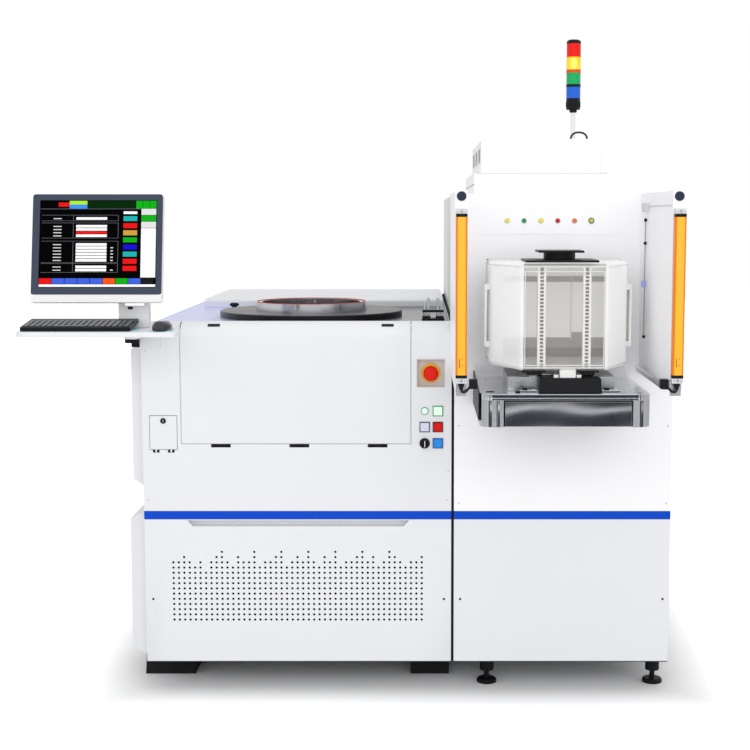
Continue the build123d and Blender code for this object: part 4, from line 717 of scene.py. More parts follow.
@dataclass
class LowerPanels:
    """The two lower front panels: a vented one with a hand scoop, and a plain one."""

    prober: tuple[float, float] = PROBER_SPAN
    loader: tuple[float, float] = LOADER_SPAN
    bottom: float = 93.0
    top: float = 540.0
    depth: float = 60.0
    fold: float = 1.4
    sheet: float = 3.0
    hole_radius: float = 3.7
    hole_depth: float = 1.5
    pitch: tuple[float, float] = (16.6, 16.4)
    first_hole: tuple[float, float] = (-858.0, 225.0)
    hole_sides: int = 16
    # Rows of holes in each column, from the left: the field has a ragged top edge.
    rows: tuple[int, ...] = (
        12, 12, 13, 12, 11, 12, 10, 12, 13, 14, 12, 11, 13, 12, 12, 14, 11, 12, 12, 13, 14, 11, 12, 13,
        12, 14, 12, 11, 13, 12, 14, 11, 12, 12, 13, 14, 12, 13, 11, 12, 14, 13, 12, 11, 12, 12, 13,
    )
    most_rows: int = 14
    scoop: tuple[float, float, float] = (-813.0, -133.0, 518.0)
    scoop_slope: float = 16.0
    scoop_depth: float = 30.0

    def build(self) -> None:
        """Build both panels as one piece."""
        shape = Shape()
        skin = bmesh.new()
        self._vented_face(skin)
        self._rim(skin, *self.prober)
        x0, x1 = self.loader
        f = self.fold
        self._quad(skin, (x0 + f, self.bottom + f), (x1 - f, self.top - f))
        self._rim(skin, x0, x1)
        bmesh.ops.remove_doubles(skin, verts=skin.verts, dist=0.01)
        shape.add(skin, PANEL_PAINT)
        shape.mesh.normal_update()
        for face in shape.mesh.faces:
            face.smooth = abs(face.normal.y) < FLAT_SHARE
        left, bottom, right, top = self._field()
        shape.box((left, 5.0, bottom), (right, 8.0, top), FILTER_MAT, 0.0)
        for x in (-922.0, -26.0, 24.0, 648.0):
            shape.screw(x, 0.0, 290.0, TO_FRONT, 3.6, BLACK_ABS)
        # A thin navy strip along the foot of each panel.
        for x0, x1 in (self.prober, self.loader):
            shape.box((x0 + 1, 0.8, self.bottom - 2.6), (x1 - 1, 58.0, self.bottom + 0.4), NAVY_CAP, 0.3)
        shape.make("lower_panels", STATION, "panel_paint", "lower_front_panels")

    def _field(self) -> tuple[float, float, float, float]:
        """Return the vent field's left, bottom, right and top."""
        px, pz = self.pitch
        left = self.first_hole[0] - px / 2
        bottom = self.first_hole[1] - pz / 2
        return left, bottom, left + px * len(self.rows), bottom + pz * self.most_rows

    def _quad(self, skin: bmesh.types.BMesh, low: tuple[float, float], high: tuple[float, float]) -> None:
        """Add a plain rectangle of the front face between two corners in X and Z."""
        (x0, z0), (x1, z1) = low, high
        skin.faces.new([skin.verts.new((x, 0.0, z)) for x, z in ((x0, z0), (x1, z0), (x1, z1), (x0, z1))])

    def _vented_face(self, skin: bmesh.types.BMesh) -> None:
        """Add the vented panel's front face, with its holes and its scoop."""
        left, bottom, right, top = self._field()
        px, pz = self.pitch
        for column, count in enumerate(self.rows):
            for row in range(self.most_rows):
                corner = (left + column * px, bottom + row * pz)
                if row < count:
                    self._hole(skin, corner[0] + px / 2, corner[1] + pz / 2)
                else:
                    self._quad(skin, corner, (corner[0] + px, corner[1] + pz))
        x0, x1 = self.prober[0] + self.fold, self.prober[1] - self.fold
        scoop_left, scoop_right, scoop_low = self.scoop
        low, high = self.bottom + self.fold, self.top - self.fold
        lip = self.top - self.sheet
        self._quad(skin, (x0, low), (left, scoop_low))
        self._quad(skin, (right, low), (x1, scoop_low))
        self._quad(skin, (left, low), (right, bottom))
        self._quad(skin, (left, top), (right, scoop_low))
        self._quad(skin, (x0, lip), (x1, high))
        a, b = scoop_left + self.scoop_slope, scoop_right - self.scoop_slope
        left_side = ((x0, scoop_low), (a, scoop_low), (scoop_left, lip), (x0, lip))
        right_side = ((b, scoop_low), (x1, scoop_low), (x1, lip), (scoop_right, lip))
        for outline in (left_side, right_side):
            skin.faces.new([skin.verts.new((x, 0.0, z)) for x, z in outline])
        mouth = ((a, scoop_low), (b, scoop_low), (scoop_right, lip), (scoop_left, lip))
        front = [skin.verts.new((x, 0.0, z)) for x, z in mouth]
        back = [skin.verts.new((x, self.scoop_depth, z)) for x, z in mouth]
        skin.faces.new(back)
        join_rings(skin, back, front)

    def _hole(self, skin: bmesh.types.BMesh, x: float, z: float) -> None:
        """Add one cell of the vent field with a round hole in its middle.

        Args:
            skin: The mesh of the front face.
            x: The hole's centre along X.
            z: The hole's centre along Z.
        """
        px, pz = self.pitch
        outer, inner, deep = [], [], []
        for k in range(self.hole_sides):
            angle = 2 * math.pi * k / self.hole_sides
            c, s = math.cos(angle), math.sin(angle)
            reach = 0.5 / max(abs(c), abs(s))
            outer.append(skin.verts.new((x + c * reach * px, 0.0, z + s * reach * pz)))
            inner.append(skin.verts.new((x + c * self.hole_radius, 0.0, z + s * self.hole_radius)))
            deep.append(skin.verts.new((x + c * self.hole_radius, self.hole_depth, z + s * self.hole_radius)))
        join_rings(skin, outer, inner)
        join_rings(skin, inner, deep)

    def _rim(self, skin: bmesh.types.BMesh, x0: float, x1: float) -> None:
        """Add a panel's folded edges, from its face round to its back.

        Args:
            skin: The mesh of the front face.
            x0: The panel's left side.
            x1: The panel's right side.
        """
        f = self.fold
        rings = []
        for inset, y in ((f, 0.0), (f * 0.3, f * 0.3), (0.0, f), (0.0, self.depth)):
            corners = (
                (x0 + inset, self.bottom + inset), (x1 - inset, self.bottom + inset),
                (x1 - inset, self.top - inset), (x0 + inset, self.top - inset),
            )
            rings.append([skin.verts.new((x, y, z)) for x, z in corners])
        for near, far in zip(rings, rings[1:]):
            join_rings(skin, far, near)


@dataclass
class Trim:
    """The blue strips over the lower panels, the seam's gasket and the small parts on the panels."""

    strips: tuple[tuple[float, float], ...] = (PROBER_SPAN, LOADER_SPAN)
    strip_levels: tuple[float, float] = (540.0, 566.0)
    shadow_gap: float = 0.7

    def build(self) -> None:
        """Build the strips and gasket, then the fasteners."""
        shape = Shape()
        low, high = self.strip_levels
        gap = self.shadow_gap
        for x0, x1 in self.strips:
            shape.box((x0, 0.0, low + gap), (x1, 12.0, high - gap), BLUE_ENAMEL, 0.8)
            # A navy block behind each strip fills the shadow gaps above and below it: painted shade.
            shape.box((x0 + 1, 1.2, low), (x1 - 1, 11.0, high), NAVY_CAP, 0.0)
        shape.box((-4.0, 4.0, 93.0), (4.0, 1690.0, 1139.0), SEAM_FOAM, 1.0)
        for x in (-826.5, -127.5):
            shape.box((x - 1.1, 1.6, 773.6), (x + 1.1, 7.0, 1139.0), INNER_PAINT, 0.3)
        shape.box((-825.0, 1.6, 773.6), (-129.0, 7.0, 775.6), INNER_PAINT, 0.3)
        shape.box((-946.0, -7.4, 1067.0), (-883.5, -0.1, 1101.0), PANEL_PAINT, 1.2)
        shape.make("trim", STATION, "blue_trim", "trim_strips")
        self._fasteners()

    def _fasteners(self) -> None:
        """Build the screws and catches of the panels, covers and roof."""
        shape = Shape()
        for x, z in ((-931.0, 600.0), (-18.0, 600.0), (-931.0, 1060.0), (-14.0, 690.0)):
            shape.screw(x, 0.0, z, TO_FRONT, 3.2, INNER_PAINT)
        for x in (18.0, 654.0):
            for z in (590.0, 830.0, 985.0):
                shape.screw(x, 0.0, z, TO_FRONT, 3.2, INNER_PAINT)
        tops = (
            ((100.0, 275.0, 455.0), (212.0, 868.0), ROOF_TOP),
            ((76.0, 472.0), (165.0, 525.0, 885.0), FILTER_TOP),
            ((-880.0, -465.0, -30.0), (1030.0, 1690.0), COVER_TOP),
        )
        for columns, depths, level in tops:
            for x in columns:
                for y in depths:
                    shape.screw(x, y, level, UPWARD, 4.0)
        for y in (120.0, 620.0, 1130.0, 1630.0):
            for z in (700.0, 1010.0):
                shape.screw(-987.0, y, z, TO_LEFT, 5.0, BLACK_ABS)
            for z in (170.0, 480.0):
                shape.screw(-1000.0, y, z, TO_LEFT, 5.0, BLACK_ABS)
        for y in (90.0, 640.0, 1160.0, 1660.0):
            for z in (140.0, 800.0, 1480.0):
                shape.screw(LOADER_SPAN[1], y, z, TO_RIGHT, 4.0, INNER_PAINT)
        for x in (-925.0, -475.0, -24.0, 24.0, 336.0, 648.0):
            for z in (120.0, 1080.0):
                shape.screw(x, REAR_PLANE, z, TO_REAR, 4.0, INNER_PAINT)
        shape.make("panel_fasteners", STATION, "steel")


@dataclass
class Controls:
    """The emergency stop's pocket, the button frames, the selector's socket and the lamps."""

    pocket: tuple[float, float, float, float] = (-111.0, -23.0, 946.0, 1035.0)
    pocket_depth: float = 32.0
    pocket_wall: float = 3.0
    stop_centre: tuple[float, float] = (-67.0, 988.0)
    columns: tuple[float, float] = (-85.5, -45.5)
    rows: tuple[float, float, float] = (875.0, 826.0, 776.0)
    flap_lock: Point = (-881.0, -1.5, 845.0)
    frame_size: float = 32.0
    cap_room: float = 26.4
    lamp_first: float = 161.0
    lamp_pitch: float = 50.4
    lamp_row: float = 1450.0

    def build(self) -> None:
        """Build the pocket, collar, frames, selector mark and lamps."""
        shape = Shape()
        self._stop_pocket(shape)
        left, right = self.columns
        high, middle, low = self.rows
        places = ((right, high, GREEN_FRAME), (left, middle, SLATE_FRAME),
                  (right, middle, SMOKE_FRAME), (right, low, BLUE_FRAME))
        for x, z, finish in places:
            self._frame(shape, x, z, finish)
        shape.rod((left, -2.0, low), (left, 0.0, low), 16.0, BLACK_ABS)
        shape.rod((left, 0.0, low), (left, 28.0, low), 9.0, BLACK_ABS)
        shape.make("control_frames", STATION, "slate_plastic", "control_bezels")
        lock = Shape()
        x, y, z = self.flap_lock
        rim = [(8.6, 0.0), (8.6, 1.0), (7.6, 2.0), (5.0, 2.0), (5.0, 1.0), (0.0, 1.0)]
        lock.lathe((x, y, z), (x, y - 1, z), rim, BLACK_ABS, 0.2, 32)
        lock.box((x - 1.0, y - 2.2, z - 3.6), (x + 1.0, y - 0.9, z + 3.6), HARD_CHROME, 0.3)
        lock.make("flap_lock_cap", "service_flap", "black_plastic")
        mark = Shape()
        mark.box((left - 1.2, -20.6, low - 9), (left + 1.2, -19.4, low + 10), WHITE_ABS, 0.3)
        mark.make("selector_mark", "mode_selector", "white_plastic")
        self._lamps()

    def _stop_pocket(self, shape: Shape) -> None:
        """Add the emergency stop's recessed housing and yellow collar."""
        x0, x1, z0, z1 = self.pocket
        wall, depth = self.pocket_wall, self.pocket_depth
        shape.box((x0, 0.3, z0), (x0 + wall, depth + wall, z1), POCKET_PLASTIC, 0.6)
        shape.box((x1 - wall, 0.3, z0), (x1, depth + wall, z1), POCKET_PLASTIC, 0.6)
        shape.box((x0 + wall, 0.3, z0), (x1 - wall, depth + wall, z0 + wall), POCKET_PLASTIC, 0.6)
        shape.box((x0 + wall, 0.3, z1 - wall), (x1 - wall, depth + wall, z1), POCKET_PLASTIC, 0.6)
        shape.box((x0 + wall, depth, z0 + wall), (x1 - wall, depth + wall, z1 - wall), POCKET_PLASTIC, 0.2)
        x, z = self.stop_centre
        collar = [(8.0, 8.0), (24.0, 8.0), (29.0, 6.5), (30.0, 0.0)]
        shape.lathe((x, depth, z), (x, 0.0, z), collar, YELLOW_COLLAR, 0.6)

    def _frame(self, shape: Shape, x: float, z: float, finish: Finish) -> None:
        """Add a square button's frame: a moulded ring round its cap.

        Args:
            shape: The shape that gets it.
            x: Its centre along X.
            z: Its centre along Z.
            finish: Its surface.
        """
        out, room = self.frame_size / 2, self.cap_room / 2
        for x0, x1, z0, z1 in (
            (x - out, x - room, z - out, z + out), (x + room, x + out, z - out, z + out),
            (x - room, x + room, z - out, z - room), (x - room, x + room, z + room, z + out),
        ):
            shape.box((x0, -2.5, z0), (x1, 12.0, z1), finish, 0.7)

    def _lamps(self) -> None:
        """Build the round lamp by the buttons and the row of lamps over the load port."""
        shape = Shape()
        self._lamp(shape, self.columns[0], self.rows[0], 12.0, PALE_GREEN_LENS, GREEN_FRAME)
        lenses = (LAMP_YELLOW, LAMP_GREEN, LAMP_YELLOW, LAMP_RED, LAMP_ORANGE, LAMP_OLIVE)
        for count, lens in enumerate(lenses):
            ring = SLATE_FRAME if lens is LAMP_OLIVE else INNER_PAINT
            self._lamp(shape, self.lamp_first + self.lamp_pitch * count, self.lamp_row, 9.0, lens, ring)
        shape.make("signal_lamps", STATION, "amber_plastic", "indicator_lamps")

    def _lamp(self, shape: Shape, x: float, z: float, radius: float, lens: Finish, ring: Finish) -> None:
        """Add a round lamp: a ring on the panel and a domed lens in it.

        Args:
            shape: The shape that gets it.
            x: Its centre along X.
            z: Its centre along Z.
            radius: The ring's outer radius.
            lens: The lens's finish.
            ring: The ring's finish.
        """
        r = radius
        collar = [(r - 2.4, 2.2), (r - 1.4, 2.4), (r, 0.8), (r, 0.0)]
        dome = [(0.0, 5.0), (r * 0.35, 4.8), (r * 0.6, 4.0), (r - 2.2, 2.0), (r - 2.2, 0.0)]
        shape.lathe((x, 0.0, z), (x, -1.0, z), collar, ring)
        shape.lathe((x, 0.0, z), (x, -1.0, z), dome, lens)
        shape.rod((x, 0.0, z), (x, 20.0, z), r - 2.2, BLACK_ABS)


@dataclass
class LoadPort:
    """The polished shelf with its inner cover, clamp cover and small sensors."""

    centre: float = 301.0
    half: float = 235.5
    front: float = -405.0
    bottom: float = 885.0
    top: float = 977.0
    corner: float = 38.0
    band: float = 17.0
    recess: tuple[float, float] = (130.0, 486.0)
    recess_depth: float = 12.0

    def build(self) -> None:
        """Build the shelf and what stands on it."""
        shape = Shape()
        x0, x1 = self.centre - self.half, self.centre + self.half
        left, right = self.recess
        band = self.top - self.band
        deep = self.front + self.recess_depth
        r = self.corner
        plan = rounded([(x0, 0.0, 0), (x0, self.front, r), (x1, self.front, r), (x1, 0.0, 0)], 12)
        shape.prism(plan, "z", band, self.top - 1.2, MIRROR_STEEL, 0.8)
        inset = rounded([
            (x0 + 2, 0.0, 0), (x0 + 2, self.front + 2, r - 2), (x1 - 2, self.front + 2, r - 2),
            (x1 - 2, 0.0, 0),
        ], 12)
        shape.prism(inset, "z", self.top - 1.4, self.top, MIRROR_STEEL, 0.5)
        left_plan = rounded([(x0, 0.0, 0), (x0, self.front, r), (left, self.front, 0), (left, 0.0, 0)], 12)
        right_plan = rounded([(right, 0.0, 0), (right, self.front, 0), (x1, self.front, r), (x1, 0.0, 0)], 12)
        shape.prism(left_plan, "z", self.bottom, band, BRUSHED_STEEL, 0.8)
        shape.prism(right_plan, "z", self.bottom, band, BRUSHED_STEEL, 0.8)
        shape.box((left, deep, self.bottom), (right, 0.0, band), SEAM_FOAM, 0.0)
        self._inner_cover(shape, left + 4, right - 4, deep, band - 4)
        near, far = self.front - 0.3, self.front + 1.5
        # Painted reflections: a thin navy strip and a bright mirror strip at three places on the shelf's
        # front.
        for x in (x0 + 24, x0 + 46, x1 - 30):
            shape.box((x - 1.2, near, self.bottom + 1), (x + 1.2, far, band - 1), NAVY_CAP, 0.0)
            shape.box((x + 2, near, self.bottom + 1), (x + 8, far, band - 1), MIRROR_STEEL, 0.2)
        self._clamp(shape)
        side = [(-3.0, 1000.0), (-3.0, 900.0), (-379.0, 900.0), (-379.0, 979.0)]
        shape.prism(side, "x", x0 - 4.5, x0 - 1.0, BLACK_ABS, 0.6)
        shape.make("load_port", STATION, "bright_steel", "load_port_shelf")

    def _inner_cover(self, shape: Shape, x0: float, x1: float, back: float, top: float) -> None:
        """Add the bright cover between the shelf's corners, slightly dished so that it bends reflections."""
        steps = 24
        depth = 4.0
        front = self.front - 2.0
        outline = [(x0, back), (x1, back)]
        for k in range(steps + 1):
            t = k / steps
            swell = depth * math.sin(math.pi * t) ** 2 * 0.5
            outline.append((x1 + (x0 - x1) * t, front + swell))
        shape.prism(outline, "z", self.bottom + 2, top, WAVY_STEEL, 0.7)

    def _clamp(self, shape: Shape) -> None:
        """Add the black clamp cover and the sensors beside it."""
        top = self.top
        shape.box((229.0, -400.0, top), (399.0, -340.0, top + 44), BLASTED_BLACK, 5.0, 4)
        shape.box((236.0, -338.0, top), (392.0, -330.0, top + 30), BRUSHED_STEEL, 0.8)
        for x0, x1 in ((176.0, 226.0), (402.0, 452.0)):
            shape.box((x0, -392.0, top), (x1, -372.0, top + 9), MIRROR_STEEL, 1.0)
            shape.box((x0 + 6, -388.0, top + 9), (x0 + 20, -376.0, top + 15), BLACK_ABS, 0.8)
            shape.box((x1 - 16, -386.0, top + 9), (x1 - 8, -378.0, top + 12), HARD_CHROME, 0.6)
            shape.box((x0 - 12, -362.0, top), (x1, -356.0, top + 3), BLACK_ABS, 0.5)
        shape.box((84.0, -352.0, top), (106.0, -344.0, top + 1.5), BLACK_ABS, 0.4)
        for x in (96.0, 506.0):
            for y in (-60.0, -200.0, -330.0):
                shape.screw(x, y, top, UPWARD, 4.0)


@dataclass
class Carrier:
    """The clear wafer carrier: shell, rims, ribs, base plates and the clamp below it."""

    centre: float = 295.0
    half: float = 195.0
    window_half: float = 117.0
    front: float = -400.0
    shoulder: float = -235.0
    back: float = -75.0
    base: float = 1041.0
    top: float = 1336.0
    slots: int = 25
    slot_pitch: float = 10.0
    comb_offset: float = 62.0
    body: str = "carrier_stage"

    def build(self) -> None:
        """Build the shell, then its rims and ribs, then what is under it."""
        self._shell()
        self._combs()
        self._ribs()
        self._rear()
        self._base()

    def _plan(self, grow: float) -> list[tuple[float, float]]:
        """Return the carrier's plan, grown outward by an amount."""
        cx, h, w = self.centre, self.half + grow, self.window_half + grow * 0.5
        front = self.front - grow
        return rounded([
            (cx - h, self.back, 0), (cx - h, self.shoulder, 90 + grow), (cx - w, front, 25 + grow),
            (cx + w, front, 25 + grow), (cx + h, self.shoulder, 90 + grow), (cx + h, self.back, 0),
        ], 10)

    def _shell(self) -> None:
        """Build the thin shell with its rounded edges: clear at the window and milky at the sides."""
        shape = Shape()
        shape.prism(self._plan(0.0), "z", self.base, self.top, CLEAR_SHELL, 9.0, 4)
        shape.finishes.append(MILKY_SHELL_PAINTED_GLOW)
        # Side and top faces take the milky finish, whose glow is painted light.
        for face in shape.mesh.faces:
            middle = face.calc_center_median()
            if abs(middle.x - self.centre) > self.window_half - 4 or middle.z > self.top - 1:
                face.material_index = 1
        shape.make("carrier_clear_shell", self.body, "clear_plastic", "carrier_shell")

    def _combs(self) -> None:
        """Build the two combs: a spine with a rail at each side and a tooth under each wafer."""
        shape = Shape()
        for offset in (-self.comb_offset, self.comb_offset):
            x = self.centre + offset
            shape.box((x - 10, -378.0, self.base + 6), (x + 10, -371.0, self.top - 10), COMB_SPINE, 0.8)
            for side in (-8.0, 8.0):
                low = (x + side - 3.2, -395.0, self.base + 6)
                shape.box(low, (x + side + 3.2, -378.0, self.top - 10), WHITE_ABS, 0.8)
            for slot in range(self.slots):
                z = self.base + 20 + slot * self.slot_pitch
                shape.box((x - 7, -396.0, z), (x + 7, -378.0, z + 3.4), WHITE_ABS, 0.6)
        shape.make("carrier_slot_combs", self.body, "white_plastic", "carrier_combs")

    def _ribs(self) -> None:
        """Build the rims and ribs, where the shell is thicker."""
        shape = Shape()
        cx, h = self.centre, self.half
        for z in (self.base + 6, self.top - 12):
            shape.prism(self._plan(1.2), "z", z, z + 5, THICK_SHELL, 1.0)
        for side in (-1, 1):
            x0, x1 = sorted((cx + side * (h - 1), cx + side * (h + 4)))
            shape.box((x0, self.back - 14, self.base), (x1, self.back, self.top), THICK_SHELL, 1.5)
            for y in (-150.0, -190.0):
                shape.box((x0, y, self.base + 20), (x1, y + 3, self.top - 20), THICK_SHELL, 1.0)
            w = self.window_half - 10
            x0, x1 = sorted((cx + side * w, cx + side * (w + 3)))
            low = (x0, self.front - 1.5, self.base + 14)
            shape.box(low, (x1, self.front + 1, self.top - 20), THICK_SHELL, 0.8)
        shape.box((cx - h, self.back - 14, self.top - 2), (cx + h, self.back, self.top + 4), THICK_SHELL, 1.5)
        for z in (self.base + 14, self.top - 24):
            shape.box((cx - 107, self.front - 1.5, z), (cx + 107, self.front + 1, z + 3), THICK_SHELL, 0.8)
        shape.make("carrier_ribs", self.body, "clear_plastic")

    def _rear(self) -> None:
        """Build the bands, the patch and the two upright ribs on the inside of the carrier's door."""
        shape = Shape()
        cx = self.centre
        y = self.back - 23.0
        bands = (
            (1048.0, 1077.0, SMOKED_BAND), (1077.0, 1108.0, FROSTED_BAND), (1272.0, 1288.0, FROSTED_BAND),
        )
        for z0, z1, finish in bands:
            shape.box((cx - 150, y - 3.0, z0), (cx + 150, y, z1), finish, 1.0)
        shape.box((cx + 52, y - 5.0, 1080.0), (cx + 98, y - 2.0, 1124.0), FROSTED_BAND, 1.2)
        for side in (-1, 1):
            x = cx + side * 50
            shape.box((x - 1.5, y - 5.0, self.base + 58), (x + 1.5, y, self.top - 48), THICK_SHELL, 0.8)
        shape.make("carrier_door_bands", "carrier_door", "clear_plastic")

    def _base(self) -> None:
        """Build the black base plates, the white hook and the blocks under the carrier."""
        shape = Shape()
        low = self.base - 6
        for x0, x1 in ((180.0, 246.0), (332.0, 393.0)):
            shape.box((x0, -386.0, low), (x1, -300.0, self.base), BLACK_ABS, 1.0)
            shape.box((x0 + 14, -380.0, low - 8), (x1 - 10, -330.0, low), BLASTED_BLACK, 1.0)
        shape.box((284.0, -392.0, 1019.0), (329.0, -372.0, 1046.0), WHITE_ABS, 3.0, 3)
        for x in (268.0, 331.0):
            shape.box((x, -390.0, 1017.5), (x + 13, -372.0, 1029.0), WHITE_ABS, 1.2)
        shape.box((205.0, -330.0, 1017.5), (385.0, -322.0, 1024.0), HARD_CHROME, 0.8)
        shape.make("carrier_base", self.body, "black_plastic")


@dataclass
class Guards:
    """The light curtains on the side wings, with their brackets, plugs and connectors."""

    middles: tuple[float, float] = (7.5, 576.5)
    front: float = -575.0
    back: float = -549.0
    wing_front: float = -545.0
    bottom: float = 1040.0
    top: float = 1470.0
    half: float = 15.0
    cap: float = 8.0

    def build(self) -> None:
        """Build both curtains and both sets of fittings."""
        curtains = Shape()
        fittings = Shape()
        for x, inward in zip(self.middles, (1, -1)):
            self._curtain(curtains, x)
            self._fittings(fittings, x, inward)
        curtains.make("curtain_housings", STATION, "yellow_plastic", "light_curtains")
        self._wing_details(fittings)
        fittings.make("curtain_fittings", STATION, "steel", "curtain_brackets")

    def _curtain(self, shape: Shape, x: float) -> None:
        """Add one light curtain: an extrusion with a window strip, and its end caps."""
        h = self.half
        low, high = self.bottom + self.cap, self.top - self.cap
        lip, glass = self.front + 1.2, self.front + 2.6
        profile = [
            (x - h, self.back), (x - h, self.front + 5), (x - h + 3, lip), (x - h + 6, lip),
            (x - h + 6, glass), (x + h - 6, glass), (x + h - 6, lip),
            (x + h - 3, lip), (x + h, self.front + 5), (x + h, self.back),
        ]
        shape.prism(profile, "z", low, high, CURTAIN_ENAMEL, 0.4)
        shape.box((x - h + 5, self.front + 0.9, low), (x + h - 5, self.front + 3, high), CURTAIN_WINDOW, 0.6)
        for z0, z1 in ((self.bottom, low), (high, self.top)):
            shape.box((x - h, self.front + 0.6, z0), (x + h, self.back, z1), BLACK_ABS, 2.0, 3)
        for z in (low + 26, low + 44):
            shape.rod((x + 2, self.front + 1, z), (x + 2, self.front + 0.5, z), 1.6, LENS_RED, 0.2, 16)
        shape.box((x - 6, self.front + 0.5, low + 20), (x - 4.5, self.front + 1, low + 44), NAVY_CAP, 0.1)

    def _fittings(self, shape: Shape, x: float, inward: int) -> None:
        """Add a curtain's two brackets, the wing's plug and the connector block.

        Args:
            shape: The shape that gets them.
            x: The curtain's middle.
            inward: 1 where the load port lies towards +X, or -1.
        """
        h = self.half
        for z0, z1 in ((self.bottom - 14, self.bottom), (self.top, self.top + 14)):
            shape.box((x - h, self.front + 4, z0), (x + h, self.wing_front, z1), INNER_PAINT, 1.5)
            shape.box((x - 3, self.front + 2, z0 + 3), (x + 3, self.front + 5, z1 - 3), BRUSHED_STEEL, 0.8)
            middle = (z0 + z1) / 2
            for side in (-9, 9):
                shape.screw(x + side, self.front + 4, middle, TO_FRONT, 3.0)
        shape.rod((x, self.back, 1516.0), (x, self.wing_front, 1516.0), 12.5, NAVY_CAP, 1.2)
        plate = self.wing_front - 1.5
        shape.box((x - 14, plate, 990.0), (x + 14, self.wing_front + 12, 1026.0), BRUSHED_STEEL, 1.2)
        socket = (x, self.front + 14, self.bottom - 14)
        plug = [(8.0, 0.0), (8.0, 8.0), (5.5, 9.0), (5.0, 16.0)]
        shape.lathe(socket, (x, socket[1], 1000.0), plug, BLACK_ABS, 0.5)
        bend = x + inward * 13
        end = x + inward * 25
        path = [
            (x, socket[1], 1016.0), (x, socket[1], 1007.0), (x + inward * 5, socket[1] + 2, 1001.0),
            (bend, socket[1] + 5, 1003.0), (x + inward * 20, socket[1] + 9, 1011.0),
            (end, socket[1] + 10, 1018.0),
        ]
        for start, stop in zip(path, path[1:]):
            shape.rod(start, stop, 3.2, CABLE_JACKET, 0.0, 16)
        x0, x1 = sorted((end - inward * 4, end + inward * 18))
        shape.box((x0, -562.0, 1010.0), (x1, -538.0, 1036.0), BLACK_ABS, 2.0)

    def _wing_details(self, shape: Shape) -> None:
        """Add the rail, rod, bracket and clip on the inner face of the right wing."""
        face = 560.0
        shape.box((face - 14, -520.0, 1003.0), (face, -40.0, 1014.0), BRUSHED_STEEL, 1.0)
        shape.box((face - 14, -520.0, 1014.0), (face - 12, -40.0, 1024.0), MIRROR_STEEL, 0.4)
        shape.rod((face - 4, -121.0, 1108.0), (face - 4, -121.0, 1460.0), 1.6, COMB_SPINE, 0.2, 16)
        for z in (1112.0, 1385.0, 1452.0):
            shape.box((face - 8, -125.0, z - 4), (face, -117.0, z + 4), BLACK_ABS, 0.8)
        shape.box((face - 12, -165.0, 1476.0), (face, -95.0, 1502.0), INNER_PAINT, 1.5)
        shape.box((face - 14, -128.0, 1258.0), (face, -120.0, 1276.0), PALE_BLUE_CLIP, 1.0)
        shape.box((face - 2, -520.0, 1490.0), (face, -20.0, 1494.0), INNER_PAINT, 0.5)


